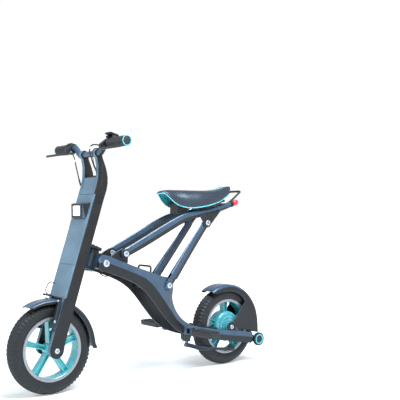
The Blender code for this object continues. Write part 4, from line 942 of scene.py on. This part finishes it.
def loops():
    """The front brake's cable loop below the panel, and the loop of wiring round the steering head."""
    noodle = offset(ORIGIN, (-0.066, -0.03, 0.35), (-0.036, -0.046, 0.372), (-0.02, -0.053, 0.352),
                    (-0.02, -0.05, 0.334), (-0.036, -0.04, 0.326))
    piece("front_brake_loop", tube(smooth_path(noodle), 0.0016, 10), PLASTIC, "column")
    boot = offset(ORIGIN, (-0.01, -0.058, 0.331), (-0.04, -0.034, 0.324))
    piece("front_brake_boot", tube(smooth_path(boot, 0.004), 0.0034, 12), BLACK, "column")
    wire = offset(ORIGIN, (-0.174, 0.034, 0.411), (-0.18, 0.036, 0.399), (-0.196, 0.038, 0.388),
                  (-0.216, 0.041, 0.389), (-0.234, 0.0455, 0.396))
    item = piece("head_wire", tube(smooth_path(wire), 0.0017, 10), PLASTIC, None)
    Vector(wire[0])
    Vector(wire[-1])
    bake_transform(item)


def kickstand():
    """A rod that narrows past its middle, with a rubber foot and a barrel on its slanted axis."""
    pivot = Vector(STAND)
    tip = Vector((SHIFT - 0.797, 0.042, 0.063))
    knee = pivot + Vector((-0.075, 0.004, -0.024))
    path = smooth_path([pivot, pivot.lerp(knee, 0.5), knee, knee.lerp(tip, 0.5), tip], 0.01)
    count = len(path) - 1
    radii = [0.008 - 0.0026 * min(1.0, max(0.0, i / count - 0.42) / 0.08) for i in range(count + 1)]
    piece("stand_rod", tube(path, 0.0052, 18, radii), GRAPHITE, "stand", ("kickstand",))
    foot = [(0.0052, -0.026), (0.0078, -0.026), (0.0085, -0.0245), (0.0085, 0.003), (0.0076, 0.0062),
            (0.005, 0.0078), (0.0, 0.008)]
    piece("stand_foot", lathe(foot, tip, tip - pivot, 24), RUBBER, "stand")
    barrel = [(0.0, -0.0075), (0.007, -0.0075), (0.0078, -0.0066), (0.0078, 0.0058), (0.007, 0.0066),
              (0.003, 0.0066), (0.003, 0.022), (0.0, 0.022)]
    piece("stand_barrel", lathe(barrel, pivot, (-0.1471, 0.4657, 0.8726), 24), GRAPHITE, "stand")


# ---------------------------------------------------------------- seat
# The seat arm's middle line: x, half the height there, and z.
ARM_LINE = (
    (-0.274, 0.015, 0.4615), (-0.31, 0.0165, 0.478), (-0.36, 0.0175, 0.5005), (-0.45, 0.0178, 0.543),
    (-0.525, 0.0165, 0.577), (-0.57, 0.0145, 0.5915), (-0.615, 0.0125, 0.599), (-0.68, 0.0112, 0.61),
    (-0.74, 0.0104, 0.624), (-0.785, 0.0096, 0.638))


def bar_section(middle, along, half, inner=ARM_IN, outer=ARM_OUT):
    """A bar's section: a face leaning up, one leaning down, and cut corners."""
    side = Vector((-along.z, 0.0, along.x))
    if side.z < 0.0:
        side = -side
    low = -half * 0.05
    cut = min(0.0052, (outer - inner) * 0.42)
    points = [(-half, inner + cut), (-half, outer - cut), (low, outer), (half - 0.003, outer - cut * 0.6),
              (half, outer - cut * 1.15), (half, inner + cut * 1.15), (half - 0.003, inner + cut * 0.6),
              (low, inner)]
    return [middle + side * a + LEFT * b for a, b in points]


def seat_arm():
    """A flat bar that follows the arm's middle line."""
    path = smooth_path(offset(ORIGIN, *ARM_LINE), 0.012)
    places = [Vector((p.x, 0.0, p.z)) for p in path]
    return loft([bar_section(place, tangent(places, i), path[i].y * 0.955) for i, place in enumerate(places)])


def on_strut_front(face):
    """Whether a strut face lies on the half that looks forward and up; those faces take the painted sky light.
    """
    run_x, run_z = PIVOT_C[0] - PIVOT_B[0], PIVOT_C[1] - PIVOT_B[1]
    across = (face.center.x - PIVOT_B[0]) * run_z - (face.center.z - PIVOT_B[1]) * run_x
    return across > -0.0005 * math.hypot(run_x, run_z)


def strut():
    """A bar from pivot to pivot whose lower end is forked over the frame member."""
    low, high = centred(PIVOT_B), centred(PIVOT_C)
    along = (high - low).normalized()
    length = (high - low).length
    rows = ((-0.058, 0.01, 0.042, 0.064), (-0.04, 0.0145, 0.042, 0.064), (0.0, 0.0168, 0.042, 0.064),
            (0.16, 0.0172, 0.042, 0.064), (0.45, 0.0172, 0.0425, 0.058), (0.8, 0.0165, 0.0428, 0.0538),
            (1.0, 0.0155, 0.0428, 0.0538), (1.035, 0.012, 0.0428, 0.0538))
    sections = []
    for k in range(21):
        share = -0.058 + 1.093 * k / 20.0
        half, inner, outer = (linear(rows, share, column) for column in (1, 2, 3))
        sections.append(bar_section(low + along * length * share, along, half, inner, outer))
    return carved(loft(sections), [prism(circle(PIVOT_B, 0.044, 40), 0.046, 0.06)])


def build_seat():
    # Painted light: the arms' upper facets and tops take the painted sky light.
    pair("arm_bar_", seat_arm(), GRAPHITE, "seat", "seat_arm_", bevel=0.0007, angle=12.0,
         lit=side_strip(8, (2, 3, 4, 5, 6)))
    eye = prism(circle(PIVOT_A, 0.0158, 40), ARM_IN + 0.0001, ARM_OUT - 0.0001)
    pair("arm_eye_", eye, GRAPHITE, "seat", bevel=0.0016)
    plate = offset(ORIGIN, (-0.612, 0.595), (-0.724, 0.614), (-0.712, 0.604))
    plate += arc(PIVOT_C, 0.018, 200.0, 350.0, 16)
    pair("arm_plate_", prism(plate, 0.0546, 0.059), GRAPHITE, "seat", bevel=0.0012)
    bolt_pair("arm_bolt_", PIVOT_A, 0.0553, 0.0106, 0.0036, "seat", "arm_pivot_")
    # Painted light: the struts' forward and upward half takes the painted sky light.
    pair("strut_bar_", strut(), GRAPHITE, "struts", "strut_", bevel=0.0007, angle=12.0, lit=on_strut_front)
    bolt_pair("seat_bolt_", PIVOT_C, 0.0592, 0.0106, 0.0037, "struts")
    shank = [(0.0, 0.05), (0.005, 0.05), (0.005, 0.0594), (0.0, 0.0594)]
    pair("seat_shank_", lathe(shank, centred(PIVOT_C), steps=20), BOLT, "struts")
    for side, sign in sides():
        tail_light(side, sign)
    rounded("seat_base", BLACK, 0.003, 3)
    bridge = offset(ORIGIN, (-0.69, 0.608), (-0.69, 0.618), (-0.755, 0.633), (-0.779, 0.642),
                    (-0.781, 0.632), (-0.75, 0.622))
    piece("tail_bridge", prism(bridge, -0.0426, 0.0426), BLACK, "seat", bevel=0.001)
    rail = offset(ORIGIN, (-0.76, 0.042, 0.633), (-0.761, 0.0385, 0.6335), (-0.768, 0.0355, 0.6365),
                  (-0.778, 0.035, 0.641), (-0.81, 0.034, 0.661), (-0.836, 0.033, 0.68),
                  (-0.845, 0.031, 0.6858), (-0.848, 0.027, 0.688), (-0.849, 0.0, 0.6884))
    path = smooth_path(both_ways(rail[::-1])[::-1], 0.004)
    piece("grab_rail", tube(path, 0.0043, 16), BLACK, "seat", ("grab_loop",))
    saddle()


def tail_light(side, sign):
    """A ribbed red lens in a collar at the end of the seat arm."""
    place = (SHIFT - 0.7858, sign * (ARM_IN + ARM_OUT) / 2, 0.6384)
    along = (-0.96, 0.0, 0.28)
    profile = [(0.0, 0.0), (0.0104, 0.0), (0.0112, 0.002)]
    for k in range(7):
        at = 0.004 + 0.0028 * k
        profile += [(0.0112, at), (0.0104, at + 0.0014)]
    profile += [(0.0106, 0.0245), (0.0088, 0.0278), (0.0058, 0.0294), (0.0, 0.03)]
    lens = lathe(profile, place, along, 28)
    piece("tail_lens_" + side, lens, RED, "seat", ("tail_light_" + side,), angle=50.0)
    collar = [(0.0, -0.006), (0.0108, -0.006), (0.0114, -0.005), (0.0114, 0.0026), (0.011, 0.0036),
              (0.0, 0.0036)]
    piece("tail_collar_" + side, lathe(collar, place, along, 28), BLACK, "seat")


# Along the saddle: x, half the width, the middle's height, the rim's height and the wall's thickness.
SADDLE_LINE = (
    (-0.46, 0.007, 0.679, 0.6765, 0.0015), (-0.467, 0.015, 0.684, 0.6775, 0.0045),
    (-0.478, 0.022, 0.687, 0.675, 0.007), (-0.49, 0.0285, 0.689, 0.663, 0.009),
    (-0.505, 0.033, 0.69, 0.649, 0.01), (-0.522, 0.0365, 0.69, 0.637, 0.011),
    (-0.54, 0.042, 0.69, 0.6295, 0.011), (-0.571, 0.052, 0.69, 0.624, 0.011),
    (-0.62, 0.06, 0.69, 0.627, 0.011), (-0.67, 0.062, 0.6905, 0.636, 0.011),
    (-0.72, 0.058, 0.6935, 0.65, 0.011), (-0.755, 0.0505, 0.6995, 0.6665, 0.011),
    (-0.774, 0.0455, 0.7045, 0.6765, 0.01), (-0.784, 0.041, 0.7072, 0.688, 0.007),
    (-0.79, 0.035, 0.708, 0.702, 0.004))
SADDLE_COLUMNS = 22
# The slot down the saddle's middle: x and half its width.
SLOT_LINE = ((-0.598, 0.0), (-0.622, 0.0048), (-0.65, 0.006), (-0.69, 0.0045), (-0.74, 0.0035),
             (-0.82, 0.005))


def saddle_row(x, drop, inset):
    """Half a cross-section of the saddle from its rim to the slot or the middle line."""
    half, middle, edge = (curve_at(SADDLE_LINE, x, column) for column in (1, 2, 3))
    slot = 0.0
    if x < SLOT_LINE[0][0]:
        slot = linear([(-a, b) for a, b in SLOT_LINE], -x, 1)
    points = []
    for k in range(SADDLE_COLUMNS + 1):
        t = 0.5 * math.pi * k / SADDLE_COLUMNS
        y = (half - inset) * math.cos(t)
        z = edge + (middle - drop - edge) * math.sin(t) ** 0.75
        if slot > 0.0:
            y = slot + (half - inset - slot) * math.cos(t)
            z -= 0.002 * math.exp(-((y - slot) / 0.006) ** 2)
        points.append(Vector((SHIFT + x, y, z)))
    return points


def saddle():
    """A padded shell: an outer and an inner sheet joined round their edges, with piping along the rim."""
    stations = []
    x, tail = SADDLE_LINE[0][0], SADDLE_LINE[-1][0]
    while x > tail:
        stations.append(x)
        x -= 0.0022 if x > -0.5 or x < -0.765 else 0.0045
    stations.append(tail)
    outer = [saddle_row(x, 0.0, 0.0) for x in stations]
    inner = []
    for x in stations:
        wall = curve_at(SADDLE_LINE, x, 4)
        row = saddle_row(x, wall * 0.85, min(0.0052, curve_at(SADDLE_LINE, x, 1) * 0.3))
        inner.append([p - UPRIGHT * 0.0004 for p in row])
    width = SADDLE_COLUMNS + 1
    count = len(stations)
    verts = [p for row in outer + inner for p in row]
    under = count * width
    faces = []
    for i in range(count - 1):
        for k in range(SADDLE_COLUMNS):
            a, b = i * width + k, (i + 1) * width + k
            faces.append([a, a + 1, b + 1, b])
            faces.append([under + b, under + b + 1, under + a + 1, under + a])
    for k in (0, SADDLE_COLUMNS):
        for i in range(count - 1):
            if k == 0 or stations[i + 1] < SLOT_LINE[0][0]:
                a, b = i * width + k, (i + 1) * width + k
                faces.append([a, b, under + b, under + a])
    for i in (0, count - 1):
        for k in range(SADDLE_COLUMNS):
            a = i * width + k
            faces.append([a, a + 1, under + a + 1, under + a])
    half = (verts, faces)
    item = piece("saddle_cover", merged(half, flip(half, -1.0)), SADDLE_TOP, "seat", ("saddle",), angle=60.0)
    item.data.materials.append(LINING)
    lining = {rounded_place((p.x, sign * p.y, p.z)) for row in inner for p in row for sign in (1.0, -1.0)}
    for face in item.data.polygons:
        corners = [rounded_place(item.data.vertices[i].co) for i in face.vertices]
        face.material_index = 1 if all(corner in lining for corner in corners) else 0
    rim = [row[0] - UPRIGHT * 0.001 for row, x in zip(outer, stations) if x > -0.772]
    path = [rim[0], *rim[3:-1:3], rim[-1]]
    loop = [Vector((p.x, -p.y, p.z)) for p in reversed(path)] + path
    piece("saddle_piping", tube(smooth_path(loop, 0.004), 0.002, 10), TEAL, "seat")
    for side, sign in sides():
        edge = [Vector((row[-1].x, sign * row[-1].y, row[-1].z + 0.0004)) for row, x in zip(outer, stations)
                if x <= SLOT_LINE[0][0]]
        path = smooth_path(edge[::2] + [edge[-1]], 0.004)
        piece("slot_piping_" + side, tube(path, 0.0011, 8), TEAL, "seat")


def rounded_place(place):
    return tuple(round(number, 5) for number in place)


# ---------------------------------------------------------------- stage
def build_stage():
    """Pale paper under the bike that brightens away from it, a pale sky, and two soft lamps."""
    bpy.ops.mesh.primitive_plane_add(size=60.0, location=(0.0, 0.0, -0.0005))
    floor = bpy.context.object
    floor.name = "studio_floor"
    look = bpy.data.materials.new("floor_paper")
    look.use_nodes = True
    tree = look.node_tree
    shader = tree.nodes["Principled BSDF"]
    coords = node_link(tree, "ShaderNodeTexCoord").outputs["Object"]
    pale = blend_colour(tree, ranged(tree, noise_at(tree, coords, 3.0), 0.0, 1.0), (0.86, 0.855, 0.85),
                        (0.9, 0.895, 0.89))
    tree.links.new(pale, shader.inputs["Base Color"])
    shader.inputs["Roughness"].default_value = 0.95
    shader.inputs["Specular IOR Level"].default_value = 0.05
    shader.inputs["Emission Color"].default_value = (1.0, 0.94, 0.88, 1.0)
    away = node_link(tree, "ShaderNodeVectorMath", Vector=coords)
    away.operation = "LENGTH"
    glow = ranged(tree, away.outputs["Value"], 0.2, 0.95, 0.8, 2.8)
    tree.links.new(glow, shader.inputs["Emission Strength"])
    floor.data.materials.append(look)
    world = bpy.data.worlds.new("studio")
    bpy.context.scene.world = world
    world.use_nodes = True
    tree = world.node_tree
    direction = node_link(tree, "ShaderNodeTexCoord").outputs["Generated"]
    split = node_link(tree, "ShaderNodeSeparateXYZ", Vector=direction)
    height = ranged(tree, split.outputs["Z"], 0.0, 1.0, 0.3, 0.75)
    tree.links.new(blend_colour(tree, height, (1.0, 1.0, 1.0), (0.3, 0.31, 0.33)),
                   tree.nodes["Background"].inputs["Color"])
    tree.nodes["Background"].inputs["Strength"].default_value = 1.02
    area_light("overhead", (-0.1, 1.1, 2.7), (-0.1, 0.0, 0.3), 1.7, 165.0, (0.68, 0.85, 1.0))
    area_light("front", (3.2, 0.2, 1.9), (0.1, 0.0, 0.45), 1.6, 55.0, (0.74, 0.88, 1.0))


def area_light(name, place, target, size, power, colour):
    """A square soft lamp aimed at a target."""
    data = bpy.data.lights.new(name, "AREA")
    data.shape = "SQUARE"
    data.size = size
    data.energy = power
    data.color = colour
    light = bpy.data.objects.new(name, data)
    light.location = place
    light.rotation_euler = (Vector(target) - Vector(place)).to_track_quat("-Z", "Y").to_euler()
    bpy.context.scene.collection.objects.link(light)


def build_camera():
    """A long lens from the left front, a little above the floor, framed as the photographer did."""
    data = bpy.data.cameras.new("camera")
    data.sensor_width = 36.0
    data.lens = 36.0 * 693.2 / 400.0
    data.shift_x = 0.1258
    data.shift_y = 0.1615
    camera = bpy.data.objects.new("camera", data)
    bpy.context.scene.collection.objects.link(camera)
    place = Vector((SHIFT + 1.0945, 2.0451, 0.5987))
    target = Vector((SHIFT - 0.42, 0.0, 0.415))
    roll = Matrix.Rotation(math.radians(-0.35), 4, "Z").to_quaternion()
    turn = (target - place).to_track_quat("-Z", "Y") @ roll
    camera.location = place
    camera.rotation_euler = turn.to_euler()
    bpy.context.scene.camera = camera


bpy.context.scene.view_settings.view_transform = "Standard"
build_camera()
cast_wheel("front", FRONT, TEAL, 0.017)
front_hub()
cast_wheel("rear", REAR, DEEP_TEAL, 0.056, 1.05)
hub_motor()
tyre("front_tyre", FRONT, "front_wheel_body")
tyre("rear_tyre", REAR, "rear_wheel_body")
fender("front_fender", FRONT, FRONT_FENDER, "column")
fender("rear_fender", REAR, REAR_FENDER, "frame")
build_frame()
build_head()
build_column()
build_handlebar()
build_small_parts()
loops()
build_seat()
build_stage()
